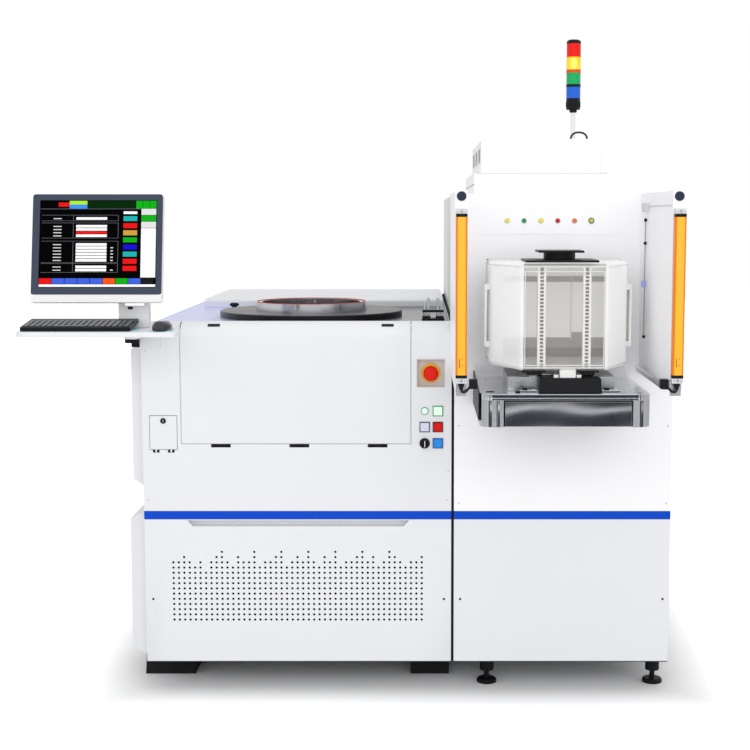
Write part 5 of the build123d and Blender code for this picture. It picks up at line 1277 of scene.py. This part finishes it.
@dataclass
class Roof:
    """The signal tower with its lenses, and the blower's side inlets."""

    place: tuple[float, float] = (392.0, 350.0)
    radius: float = 22.5
    roof: float = ROOF_TOP
    base: float = 1802.0
    base_height: float = 36.0
    flutes: int = 36
    base_ribs: int = 24

    def build(self) -> None:
        """Build the pole and base, the lenses and the inlets."""
        x, y = self.place
        r = self.radius
        pole = Shape()
        foot = [
            (26.0, 0.0), (26.0, 3.0), (24.0, 4.0), (12.0, 5.0), (9.0, 8.0), (9.0, 14.0), (7.0, 15.0),
            (7.0, 99.0),
        ]
        pole.lathe((x, y, self.roof), (x, y, self.roof + 1), foot, WHITE_ABS, 0.4)
        housing = [
            (7.0, 0.0), (11.0, 1.0), (12.0, 3.0), (12.0, 9.0), (r - 1.5, 9.6), (r, 12.0), (r, 45.0),
            (0.0, 45.0),
        ]
        pole.lathe((x, y, self.base - 9), (x, y, self.base), housing, BLACK_ABS, 0.5)
        for k in range(self.base_ribs):
            angle = 2 * math.pi * k / self.base_ribs
            px, py = x + (r + 0.1) * math.cos(angle), y + (r + 0.1) * math.sin(angle)
            pole.rod((px, py, self.base + 8), (px, py, self.base + 26), 0.9, BLACK_ABS, 0.0, 8)
        lens_top = self._lenses(x, y)
        cap = [(r + 0.4, 0.0), (r + 0.4, 6.0), (r - 2, 10.0), (r - 7, 12.4), (0.0, 13.0)]
        pole.lathe((x, y, lens_top), (x, y, lens_top + 1), cap, BLACK_ABS)
        for end in (x - 12, x + 40):
            gland = [(8.0, 0.0), (8.0, 4.0), (6.5, 5.0), (5.0, 7.0), (3.1, 7.0)]
            pole.lathe((end, y - 50, self.roof), (end, y - 50, self.roof + 1), gland, BLACK_ABS, 0.4, 24)
        pole.make("tower_pole", STATION, "black_plastic", "signal_tower")
        self._inlets()

    def _lenses(self, x: float, y: float) -> float:
        """Build the stack of fluted lenses and return the level of its top."""
        shape = Shape()
        r = self.radius
        stack = (
            (36.0, LENS_BLUE, 0.0), (8.0, BLACK_ABS, 0.9), (36.0, LENS_GREEN, 0.0), (10.0, LENS_EMBER, 0.9),
            (40.0, LENS_YELLOW, 0.4), (42.0, LENS_RED, 0.0),
        )
        z = self.base + self.base_height
        for height, finish, proud in stack:
            if finish is LENS_YELLOW:
                shape.rod((x, y, z + 3), (x, y, z + height - 3), r * 0.45, LENS_CORE, 3.0)
            if proud > 0.5:
                shape.rod((x, y, z), (x, y, z + height), r + proud, finish, 1.2, 48)
            else:
                outline = []
                for k in range(self.flutes * 2):
                    angle = math.pi * k / self.flutes
                    reach = r + proud - (0.5 if k % 2 else 0.0)
                    outline.append((x + reach * math.cos(angle), y + reach * math.sin(angle)))
                shape.prism(outline, "z", z, z + height, finish, 0.0)
            z += height
        shape.make("tower_lens_stack", STATION, "amber_plastic", "tower_lenses")
        return z

    def _inlets(self) -> None:
        """Build the air inlets on the blower's left side, and the seams of the filter's frame."""
        shape = Shape()
        side = 90.0
        for y in (300.0, 520.0, 740.0):
            shape.box((side - 0.6, y - 60, 1628.0), (side + 0.4, y + 60, 1676.0), INNER_PAINT, 0.3)
            for count in range(6):
                z = 1633.0 + count * 7
                shape.box((side - 1.6, y - 54, z), (side + 0.2, y + 54, z + 3), SLATE_FRAME, 0.4)
        shape.box((67.4, 152.0, 1560.0), (68.2, 898.0, 1562.0), NAVY_CAP, 0.0)
        for z in (1531.2, 1594.6):
            shape.box((70.0, 149.6, z), (478.0, 150.2, z + 0.8), NAVY_CAP, 0.0)
        shape.make("roof_inlets", STATION, "panel_paint")


@dataclass
class Rear:
    """The rear service fittings: louvres, connector plate, supply inlet, main switch and exhaust."""

    plane: float = REAR_PLANE
    louvre_pitch: float = 17.0

    def build(self) -> None:
        """Build the fittings on both rear panels."""
        shape = Shape()
        self._louvres(shape, (-800.0, -150.0), 240.0, 11)
        self._louvres(shape, (120.0, 552.0), 1150.0, 12)
        self._louvres(shape, (120.0, 552.0), 180.0, 8)
        self._plate(shape, (-330.0, 880.0), (-110.0, 1040.0))
        for count in range(4):
            self._socket(shape, -300.0 + count * 34, 1005.0, 11.0)
            self._socket(shape, -300.0 + count * 34, 965.0, 8.0)
        self._inlet(shape, -160.0, 985.0)
        self._plate(shape, (440.0, 900.0), (620.0, 1080.0))
        self._inlet(shape, 490.0, 950.0)
        self._switch(shape, 560.0, 1020.0)
        y = self.plane
        collar = [(52.0, 0.0), (52.0, 3.0), (46.0, 4.0), (46.0, 10.0), (43.0, 10.0), (43.0, 1.0), (0.0, 1.0)]
        shape.lathe((220.0, y, 800.0), (220.0, y + 1, 800.0), collar, MILLED_ALUMINIUM, 0.4, 56)
        shape.make("rear_fittings", STATION, "steel")

    def _louvres(self, shape: Shape, span: tuple[float, float], low: float, count: int) -> None:
        """Add a stack of pressed louvres.

        Args:
            shape: The shape that gets them.
            span: Their left and right ends along X.
            low: The level of the lowest.
            count: How many there are.
        """
        y = self.plane
        x0, x1 = span
        for number in range(count):
            z = low + number * self.louvre_pitch
            profile = [(y, z), (y + 4, z + 1.5), (y + 4, z + 3), (y, z + 11)]
            shape.prism(profile, "x", x0, x1, PANEL_PAINT, 0.5)
            # Painted shade: a black strip under each louvre stands for its opening, which is not cut.
            shape.box((x0 + 2, y - 0.4, z - 3.4), (x1 - 2, y + 0.4, z - 0.2), FILTER_MAT, 0.0)

    def _plate(self, shape: Shape, low: tuple[float, float], high: tuple[float, float]) -> None:
        """Add a service plate with a screw in each corner, between two corners in X and Z."""
        y = self.plane
        shape.box((low[0], y, low[1]), (high[0], y + 2.5, high[1]), BRUSHED_STEEL, 0.8)
        for x in (low[0] + 8, high[0] - 8):
            for z in (low[1] + 8, high[1] - 8):
                shape.screw(x, y + 2.5, z, TO_REAR, 3.4)

    def _socket(self, shape: Shape, x: float, z: float, radius: float) -> None:
        """Add a round connector socket."""
        y = self.plane + 2.5
        r = radius
        profile = [(r, 0.0), (r, 3.0), (r - 1.5, 7.0), (r - 3, 7.0), (r - 3, 2.0), (0.0, 2.0)]
        shape.lathe((x, y, z), (x, y + 1, z), profile, BLACK_ABS, 0.3, 28)

    def _inlet(self, shape: Shape, x: float, z: float) -> None:
        """Add a supply inlet: a black housing with a raised middle and three pins."""
        y = self.plane + 2.5
        shape.box((x - 26, y, z - 22), (x + 26, y + 3, z + 22), BLACK_ABS, 1.0)
        shape.box((x - 18, y + 3, z - 15), (x + 18, y + 5, z + 15), BLASTED_BLACK, 1.5)
        for side in (-6.0, 0.0, 6.0):
            shape.box((x + side - 1, y + 5, z - 4), (x + side + 1, y + 6.5, z + 4), HARD_CHROME, 0.2)

    def _switch(self, shape: Shape, x: float, z: float) -> None:
        """Add the main switch: a yellow plate and a red rotary handle."""
        y = self.plane + 2.5
        shape.box((x - 28, y, z - 28), (x + 28, y + 2, z + 28), YELLOW_COLLAR, 1.0)
        base = [(19.0, 0.0), (19.0, 2.5), (17.0, 4.0), (0.0, 4.0)]
        shape.lathe((x, y + 2, z), (x, y + 3, z), base, EMO_RED, 0.4, 40)
        shape.box((x - 5, y + 5, z - 17), (x + 5, y + 9.5, z + 17), EMO_RED, 1.5)


@dataclass
class DeckFittings:
    """The guide posts by the seam and the knob on the deck."""

    posts: tuple[float, float] = (-58.0, 229.0)
    knob: tuple[float, float] = (-775.0, 905.0)
    deck: float = 1130.0

    def build(self) -> None:
        """Build the posts on their base and the knob."""
        shape = Shape()
        x, y = self.posts
        deck = self.deck
        shape.box((x - 36, y - 22, deck), (x + 36, y + 22, deck + 12), BLACK_ABS, 2.0)
        for offset, rise in ((-27, 62), (-15, 76), (15, 76), (27, 62)):
            shaft = (x + offset, y)
            shape.rod((*shaft, deck + 12), (*shaft, deck + rise), 4.5, HARD_CHROME, 1.2)
            shape.rod((*shaft, deck + 12), (*shaft, deck + 18), 7.0, BLASTED_BLACK, 0.8)
        shape.box((x - 34, y - 7, deck + 30), (x + 34, y + 7, deck + 38), BLASTED_BLACK, 1.0)
        x, y = self.knob
        profile = [(9.0, 0.0), (9.0, 6.0), (15.0, 8.0), (17.0, 11.0), (17.0, 15.0), (12.0, 19.0), (0.0, 20.0)]
        shape.lathe((x, y, deck), (x, y, deck + 1), profile, BLACK_ABS)
        shape.make("deck_fittings", STATION, "black_satin", "guide_posts")


@dataclass
class Screen:
    """The control picture on the monitor: plain lit fields, set out in shares of the screen."""

    left: float
    bottom: float
    width: float
    height: float
    face: float
    line: float = 0.0365

    def field(self, shape: Shape, u: float, v: float, wide: float, tall: float, finish: Finish) -> None:
        """Add a lit field.

        Args:
            shape: The shape that gets it.
            u: Its left side, as a share of the screen's width.
            v: Its lower side, as a share of the screen's height.
            wide: Its width, as a share.
            tall: Its height, as a share.
            finish: Its colour.
        """
        x, z = self.left + u * self.width, self.bottom + v * self.height
        high = (x + wide * self.width, self.face, z + tall * self.height)
        shape.box((x, self.face - 0.25, z), high, finish, 0.0)

    def draw(self, shape: Shape) -> None:
        """Draw the whole picture."""
        colours = {
            "white": "#F4F4F4", "grey": "#D9D9D9", "rule": "#6F7278", "red": "#E01818", "teal": "#1FA8A8",
            "ochre": "#C49A3C", "green": "#12A818", "navy": "#1414C8", "tab": "#4060D8", "ember": "#F0541A",
            "lime": "#A6E03A", "sky": "#3C8CF0", "forest": "#06260A", "ash": "#1A1A1A",
        }
        ink = {name: screen_colour(name, colour) for name, colour in colours.items()}
        self._bars(shape, ink)
        self._form(shape, ink)
        column = ("white", "teal", "red", "ochre", "green", "navy", "teal", "red", "red")
        for count, name in enumerate(column):
            tall = 0.03 if count == 0 else 0.058
            self.field(shape, 0.717, 0.845 - count * 0.0822, 0.119, tall, ink[name])
        for v, name in ((0.835, "grey"), (0.76, "green"), (0.685, "grey")):
            self.field(shape, 0.871, v, 0.127, 0.07, ink[name])
        self.field(shape, 0.871, 0.112, 0.127, 0.568, ink["white"])

    def _bars(self, shape: Shape, ink: dict[str, Finish]) -> None:
        """Draw the bars along the top and the bottom of the picture."""
        self.field(shape, 0.156, 0.93, 0.09, 0.048, ink["red"])
        self.field(shape, 0.25, 0.953, 0.153, 0.045, ink["lime"])
        self.field(shape, 0.25, 0.908, 0.153, 0.043, ink["sky"])
        self.field(shape, 0.406, 0.912, 0.416, 0.086, ink["forest"])
        for count in range(3):
            self.field(shape, 0.825 + count * 0.059, 0.908, 0.056, 0.09, ink["green"])
        self.field(shape, 0.0, 0.902, 0.87, 0.004, ink["rule"])
        tabs = ("red", "tab", "tab", "tab", "tab", "ember", "green", "tab", "ash")
        for count, name in enumerate(tabs):
            self.field(shape, 0.002 + count * 0.1095, 0.038, 0.104, 0.064, ink[name])
        self.field(shape, 0.0, 0.004, 1.0, 0.028, ink["white"])

    def _form(self, shape: Shape, ink: dict[str, Finish]) -> None:
        """Draw the groups of entry fields, each in a thin frame with its row marks."""
        groups = ((0.778, 1), (0.688, 4), (0.477, 6), (0.219, 2))
        for top, rows in groups:
            height = rows * self.line
            low = top - height + self.line
            self.field(shape, 0.015, top + 0.052, 0.66, 0.003, ink["rule"])
            self.field(shape, 0.015, low - 0.014, 0.66, 0.003, ink["rule"])
            for u in (0.285, 0.672):
                self.field(shape, u, low - 0.014, 0.003, height + 0.03, ink["rule"])
            for row in range(rows):
                v = top - row * self.line
                name = "red" if rows == 4 and row == 2 else "white"
                self.field(shape, 0.311, v, 0.265, self.line * 0.82, ink[name])
                self.field(shape, 0.115, v + 0.008, 0.07, 0.01, ink["grey"])
                if rows != 4 and row:
                    self.field(shape, 0.61, v + 0.008, 0.022, 0.012, ink["grey"])


@dataclass
class Console:
    """The operator console: tray and neck, monitor, keyboard, mouse and its lead."""

    tray_left: float = -1261.0
    tray_right: float = -832.0
    wing_right: float = -799.0
    tray_front: float = -235.0
    tray_back: float = -25.0
    wing_back: float = -145.0
    tray_low: float = 1119.0
    tray_top: float = TRAY_TOP
    pivot: tuple[float, float] = (-959.0, -52.0)
    neck: float = -951.0
    axis: tuple[float, float] = (-45.0, 1290.0)
    tilt: float = 12.0
    keyboard: tuple[float, float] = (-1252.0, -207.0)
    keyboard_tilt: float = 6.5
    mouse: tuple[float, float] = (-847.0, -170.0)

    def build(self) -> None:
        """Build every part of the console."""
        self._tray()
        self._monitor()
        self._keys()
        self._mouse()

    def _tray(self) -> None:
        """Build the tray with its mouse wing, its pivot boss and the neck."""
        shape = Shape()
        plan = rounded([
            (self.tray_left, self.tray_front, 30), (self.wing_right, self.tray_front, 18),
            (self.wing_right, self.wing_back, 18), (self.tray_right, self.wing_back, 4),
            (self.tray_right, self.tray_back, 4), (self.tray_left, self.tray_back, 30),
        ])
        shape.prism(plan, "z", self.tray_low, self.tray_top, PANEL_PAINT, 2.0, 3)
        px, py = self.pivot
        shape.rod((px, py, self.tray_low - 19), (px, py, self.tray_low), 24.0, PANEL_PAINT, 1.5)
        y, z = self.axis
        top = self.tray_top + 64
        shape.box((self.neck - 45, y - 20, self.tray_top), (self.neck + 45, y + 20, top), PANEL_PAINT, 2.0)
        for side in (-1, 1):
            x0, x1 = sorted((self.neck + side * 45, self.neck + side * 31.5))
            arm = [(y - 18, top), (y + 18, top), (y + 12, z), (y - 12, z)]
            shape.prism(arm, "x", x0, x1, PANEL_PAINT, 1.0)
            shape.rod((x0, y, z), (x1, y, z), 12.0, PANEL_PAINT, 1.0)
        shape.box((self.neck - 16, y - 24, top - 9), (self.neck - 1, y - 20, top - 1), BLACK_ABS, 1.0)
        kx, ky = self.keyboard
        pad_top = self.tray_top + 1.2
        shape.box((kx + 8, ky + 3, self.tray_top), (kx + 325, ky + 128, pad_top), CYAN_RUBBER, 0.4)
        mx, my = self.mouse
        skirt = [(32.6, 0.0), (32.6, 1.8), (31.0, 2.4), (0.0, 2.4)]
        shape.lathe((mx, my - 16, self.tray_top), (mx, my - 16, self.tray_top + 1), skirt, CYAN_RUBBER)
        shape.make("console_tray_and_neck", "console", "panel_paint", "console_tray")

    def _monitor(self) -> None:
        """Build the monitor upright, then lean it back about its pin."""
        y, z = self.axis
        turn = Matrix.Rotation(math.radians(-self.tilt), 4, "X")
        shape = Shape(Matrix.Translation((0, y, z)) @ turn @ Matrix.Translation((0, -y, -z)))
        left, right, low, high = -1239.0, -855.0, 1197.0, 1519.0
        face = -112.0
        rear = [(left, low, 8), (right, low, 8), (right, high, 8), (left, high, 8)]
        shape.prism(rounded(rear), "y", face + 5, face + 22, WHITE_ABS, 2.5, 3)
        chin = [(left, low, 4), (right, low, 4), (right, low + 26, 0), (left, low + 26, 0)]
        shape.prism(rounded(chin), "y", face + 0.6, face + 8, WHITE_ABS, 1.2)
        bezel = [(left, low + 23, 7), (right - 2, low + 23, 7), (right - 2, high, 8), (left, high, 8)]
        shape.prism(rounded(bezel), "y", face, face + 6, SLATE_ABS, 1.0)
        width, height = right - left - 43, high - low - 64.5
        glass = (left + 23, low + 45)
        corner = (glass[0] - 1.5, face - 0.15, glass[1] - 1.5)
        shape.box(corner, (glass[0] + width + 1.5, face + 1, glass[1] + height + 1.5), SCREEN_GLASS, 0.1)
        Screen(glass[0], glass[1], width, height, face - 0.15).draw(shape)
        middle = (left + right) / 2
        shape.box((middle - 120, face + 22, low + 55), (middle + 120, face + 26, low + 285), WHITE_ABS, 1.5)
        # Painted shade: nine slate strips on the back stand for vent slots, which are not cut.
        for count in range(9):
            slot = low + 190 + count * 9
            low_end = (middle - 90, face + 25.6, slot)
            shape.box(low_end, (middle + 90, face + 26.4, slot + 3), SLATE_FRAME, 0.3)
        shape.box((self.neck - 28, face + 22, z - 10), (self.neck + 28, y + 10, z + 10), BLACK_COAT, 1.5)
        shape.rod((self.neck - 45, y, z), (self.neck + 45, y, z), 5.0, HARD_CHROME, 0.6)
        shape.make("operator_monitor", "monitor", "slate_plastic", "monitor")

    def _keys(self) -> None:
        """Build the sculpted key caps in their rows, on the tilted keyboard."""
        kx, ky = self.keyboard
        turn = Matrix.Rotation(math.radians(self.keyboard_tilt), 4, "X")
        shape = Shape(Matrix.Translation((kx, ky, self.tray_top)) @ turn)
        columns, rows, pitch_y, gap = 18, 6, 16.5, 0.8
        pitch = (318.0 - 13.0 + gap) / columns
        for row in range(rows):
            for column in range(columns):
                bar = row == 0 and 5 <= column < 11
                if bar and column > 5:
                    continue
                x = 6.5 + column * pitch
                y = 8.5 + row * pitch_y
                wide = (6 if bar else 1) * pitch - gap
                lift = 0.4 * abs(row - 2.5) / 2.5
                self._key(shape, x, y, wide, pitch_y - gap, 14.4 + lift)
        shape.make("key_caps", "keyboard_keys", "slate_plastic", "keyboard_keys")

    def _key(self, shape: Shape, x: float, y: float, wide: float, deep: float, top: float) -> None:
        """Add one key cap, drawn in towards its dished top.

        Args:
            shape: The shape that gets it.
            x: Its left side.
            y: Its front side.
            wide: Its width.
            deep: Its depth.
            top: The height of its top.
        """
        part = bmesh.new()
        levels = ((0.0, 6.3), (0.5, 9.0), (2.0, top), (3.6, top - 0.7))
        rings = []
        for inset, z in levels:
            x0, x1, y0, y1 = x + inset, x + wide - inset, y + inset * 0.8, y + deep - inset
            rings.append([part.verts.new(p) for p in ((x0, y0, z), (x1, y0, z), (x1, y1, z), (x0, y1, z))])
        for near, far in zip(rings, rings[1:]):
            join_rings(part, near, far)
        part.faces.new(rings[-1])
        part.faces.new(rings[0][::-1])
        shape.add(part, CHARCOAL_ABS, 0.35)

    def _mouse(self) -> None:
        """Build the mouse: a lofted dome with its button seam and wheel."""
        mx, my = self.mouse
        part = bmesh.new()
        rings, sides = 14, 48
        loops = []
        for k in range(rings):
            t = k / (rings - 1)
            spread = math.cos(t * math.pi / 2) ** 0.55
            height = 30.0 * math.sin(t * math.pi / 2) ** 0.9
            loop = []
            for s in range(sides):
                angle = 2 * math.pi * s / sides
                c, d = math.cos(angle), math.sin(angle)
                waist = 1.0 - 0.08 * math.cos(2 * angle) * (1 - t)
                px = 30.5 * spread * waist * abs(c) ** 0.9 * math.copysign(1, c)
                py = 51.5 * spread * d - 6.0 * t
                slope = 1.0 - 0.18 * max(0.0, py) / 52.0
                loop.append(part.verts.new((mx + px, my + py, self.tray_top + 1.2 + height * slope * 0.96)))
            loops.append(loop)
        for near, far in zip(loops, loops[1:]):
            join_rings(part, near, far)
        part.faces.new(loops[0][::-1])
        bmesh.ops.remove_doubles(part, verts=part.verts, dist=0.05)
        shape = Shape()
        shape.add(part, CHARCOAL_ABS)
        z = self.tray_top
        shape.box((mx - 0.5, my + 6, z + 22), (mx + 0.5, my + 44, z + 26.2), NAVY_CAP, 0.2)
        shape.rod((mx - 3.5, my + 24, z + 20), (mx + 3.5, my + 24, z + 20), 7.5, BLACK_ABS, 1.2, 28)
        relief = [(3.6, 0.0), (3.0, 3.0), (2.6, 4.6)]
        shape.lathe((mx, my + 48, z + 8.6), (mx, my + 53, z + 8.9), relief, BLACK_ABS)
        shape.make("pointer_mouse", "console", "black_plastic", "mouse")


@dataclass
class Lead:
    """A short lead on one smooth line."""

    name: str
    node: str
    body: str
    route: Sequence[Point]
    radius: float
    length: float

    def build(self) -> None:
        data = bpy.data.curves.new(self.name, "CURVE")
        data.dimensions = "3D"
        data.bevel_depth = self.radius * MM
        data.bevel_resolution = 6
        data.resolution_u = 16
        data.use_fill_caps = True
        spline = data.splines.new("NURBS")
        spline.points.add(len(self.route) - 1)
        for point, place in zip(spline.points, self.route):
            point.co = (*at(*place), 1.0)
        spline.order_u = 3
        spline.use_endpoint_u = True
        data.materials.append(CABLE_JACKET.material())
        piece = bpy.data.objects.new(self.name, data)
        bpy.context.scene.collection.objects.link(piece)
        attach(piece, self.body)
        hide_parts(self.node)
        log.info("%s: a lead of %.0f mm", self.name, self.length)


@dataclass
class Studio:
    """White studio: floor, soft lamps, the dark flags that polished steel mirrors, and the camera."""

    eye: Point = (-109.0, -4306.0, 1467.0)
    pitch_down: float = 6.385
    focal: float = 68.64
    shift: float = -0.056
    fill: float = 0.53
    footprint_middle: Point = (0.158, 0.2875, 0.0)
    footprint_half: Point = (0.807, 0.875, 0.0)
    floor_side: float = 40.0
    floor_paint: float = 0.86
    # The floor's colour for the camera: under the machine, and at the reach beyond its footprint.
    floor_white: tuple[float, float] = (1.1, 2.4)
    floor_reach: float = 0.5

    def build(self) -> None:
        """Build the camera, world, floor, lamps and flags."""
        scene = bpy.context.scene
        scene.view_settings.view_transform = "Standard"
        self._camera(scene)
        self._world(scene)
        self._floor()
        self._lamps()
        self._flags()

    def _camera(self, scene: bpy.types.Scene) -> None:
        """Place the camera where the photograph was taken from."""
        data = bpy.data.cameras.new("camera")
        data.sensor_width = 36.0
        data.lens = self.focal
        data.shift_x = self.shift
        camera = bpy.data.objects.new("camera", data)
        camera.location = at(*self.eye)
        camera.rotation_euler = (math.radians(90 - self.pitch_down), 0.0, 0.0)
        scene.collection.objects.link(camera)
        scene.camera = camera

    def _world(self, scene: bpy.types.Scene) -> None:
        """Make the world white to the camera and in reflections, and a softer fill on the object."""
        world = bpy.data.worlds.new("studio_white")
        world.use_nodes = True
        scene.world = world
        tree = world.node_tree
        rays = add_node(tree, "ShaderNodeLightPath").outputs
        seen = add_node(
            tree, "ShaderNodeMath", {0: rays["Is Camera Ray"], 1: rays["Is Glossy Ray"]}, operation="MAXIMUM",
        )
        also = {0: seen.outputs[0], 1: rays["Is Transmission Ray"]}
        seen = add_node(tree, "ShaderNodeMath", also, operation="MAXIMUM")
        strength = add_node(
            tree, "ShaderNodeMapRange", {"Value": seen.outputs[0], "To Min": self.fill, "To Max": 1.0}
        )
        back = tree.nodes["Background"]
        back.inputs["Color"].default_value = (1.0, 1.0, 1.0, 1.0)
        tree.links.new(strength.outputs["Result"], back.inputs["Strength"])

    def _floor(self) -> None:
        """Lay a floor that is pure white to the camera, apart from the object's shadow."""
        material = bpy.data.materials.new("studio_floor")
        material.use_nodes = True
        tree = material.node_tree
        shader = tree.nodes["Principled BSDF"]
        shader.inputs["Roughness"].default_value = 0.9
        shader.inputs["Specular IOR Level"].default_value = 0.0
        rays = add_node(tree, "ShaderNodeLightPath").outputs
        place = add_node(tree, "ShaderNodeTexCoord").outputs["Object"]
        offset = {0: place, 1: self.footprint_middle}
        middle = add_node(tree, "ShaderNodeVectorMath", offset, operation="SUBTRACT")
        mirrored = add_node(tree, "ShaderNodeVectorMath", {0: middle.outputs[0]}, operation="ABSOLUTE")
        beyond = {0: mirrored.outputs[0], 1: self.footprint_half}
        beyond = add_node(tree, "ShaderNodeVectorMath", beyond, operation="SUBTRACT").outputs[0]
        sides = add_node(tree, "ShaderNodeSeparateXYZ", {0: beyond}).outputs
        larger = {0: sides["X"], 1: sides["Y"]}
        away = add_node(tree, "ShaderNodeMath", larger, operation="MAXIMUM").outputs[0]
        near_white, far_white = self.floor_white
        far = {
            "Value": away, "From Min": 0.0, "From Max": self.floor_reach,
            "To Min": near_white, "To Max": far_white,
        }
        white = add_node(tree, "ShaderNodeMapRange", far, interpolation_type="SMOOTHSTEP").outputs["Result"]
        paint = (self.floor_paint, self.floor_paint, self.floor_paint, 1.0)
        whites = {"Factor": rays["Is Camera Ray"], 6: paint, 7: white}
        seen = add_node(tree, "ShaderNodeMix", whites, data_type="RGBA")
        tree.links.new(seen.outputs[2], shader.inputs["Base Color"])
        size = (self.floor_side, self.floor_side)
        self._card("studio_floor", (0.0, 0.0, 0.0), size, (0.0, 0.0, 0.0), material)

    def _card(
        self, name: str, place: Point, size: tuple[float, float], turn: Point, material: bpy.types.Material
    ) -> bpy.types.Object:
        """Stand a flat card in the studio.

        Args:
            name: Its name.
            place: Its centre in metres.
            size: Its two sides in metres.
            turn: Its rotation in degrees.
            material: Its surface.

        Returns:
            The card.
        """
        data = bpy.data.meshes.new(name)
        x, y = size[0] / 2, size[1] / 2
        data.from_pydata([(-x, -y, 0), (x, -y, 0), (x, y, 0), (-x, y, 0)], [], [(0, 1, 2, 3)])
        data.materials.append(material)
        card = bpy.data.objects.new(name, data)
        card.location = place
        card.rotation_euler = [math.radians(a) for a in turn]
        bpy.context.scene.collection.objects.link(card)
        return card

    def _lamps(self) -> None:
        """Hang four large soft lamps: in front, at either side of it and above."""
        lamps = (
            ("lamp_front", (0.4, -7.5, 2.6), 5.0, 150.0),
            ("lamp_front_left", (-4.6, -5.0, 3.4), 4.5, 60.0),
            ("lamp_front_right", (4.8, -4.6, 3.2), 4.0, 45.0),
            ("lamp_top", (0.4, -0.6, 6.0), 4.5, 60.0),
        )
        for name, place, size, power in lamps:
            data = bpy.data.lights.new(name, "AREA")
            data.shape = "SQUARE"
            data.size = size
            data.energy = power
            lamp = bpy.data.objects.new(name, data)
            lamp.location = place
            aim = Vector((0.0, 0.0, 0.9)) - Vector(place)
            lamp.rotation_euler = aim.to_track_quat("-Z", "Y").to_euler()
            lamp.visible_glossy = False
            bpy.context.scene.collection.objects.link(lamp)

    def _flags(self) -> None:
        """Stand dark flags in front, which only reflections see, so that polished steel has contrast."""
        material = bpy.data.materials.new("studio_flag")
        material.use_nodes = True
        shader = material.node_tree.nodes["Principled BSDF"]
        shader.inputs["Base Color"].default_value = (0.0, 0.0, 0.0, 1.0)
        shader.inputs["Emission Color"].default_value = linear("#0E1422")
        shader.inputs["Emission Strength"].default_value = 1.0
        flags = (
            ("flag_low", (0.6, -6.4, 0.098), (3.4, 0.195)),
            ("flag_high", (0.6, -6.4, 0.43), (3.4, 0.37)),
            ("flag_left", (-2.6, -5.6, 0.6), (0.7, 1.5)),
            ("flag_right", (3.6, -5.4, 0.6), (0.8, 1.5)),
            ("flag_far_right", (5.4, -3.4, 0.8), (0.5, 1.9)),
        )
        for name, place, size in flags:
            card = self._card(name, place, size, (90.0, 0.0, 0.0), material)
            card.visible_camera = False
            card.visible_diffuse = False
            card.visible_transmission = False
            card.visible_shadow = False


def main() -> None:
    """Build the studio and the cords first, then every sub-assembly."""
    logging.basicConfig(level=logging.INFO, format="%(message)s")
    Studio().build()
    roof, tray = ROOF_TOP, TRAY_TOP
    tower = [
        (380, 300, 7), (380, 300, 16), (384, 300, 24), (391, 300, 29.5), (401, 300, 32),
        (411, 300, 32), (421, 300, 29.5), (428, 300, 24), (432, 300, 16), (432, 300, 7),
    ]
    Lead("tower_arch_lead", "tower_lead", STATION, [(x, y, roof + z) for x, y, z in tower], 3.0, 83.4).build()
    mouse = [
        (-847, -117.7, 9), (-847, -104, 8), (-850, -88, 3), (-858, -72, 3), (-862, -56, 3), (-858, -42, 3),
    ]
    Lead("pointer_lead", "mouse_lead", "console", [(x, y, tray + z) for x, y, z in mouse], 2.2, 79.1).build()
    CadDressing().dress()
    parts = (
        LowerPanels(), Trim(), Controls(), LoadPort(), Carrier(), Guards(), Roof(), Rear(),
        DeckFittings(), Console(),
    )
    for part in parts:
        part.build()


if __name__ == "__main__":
    main()
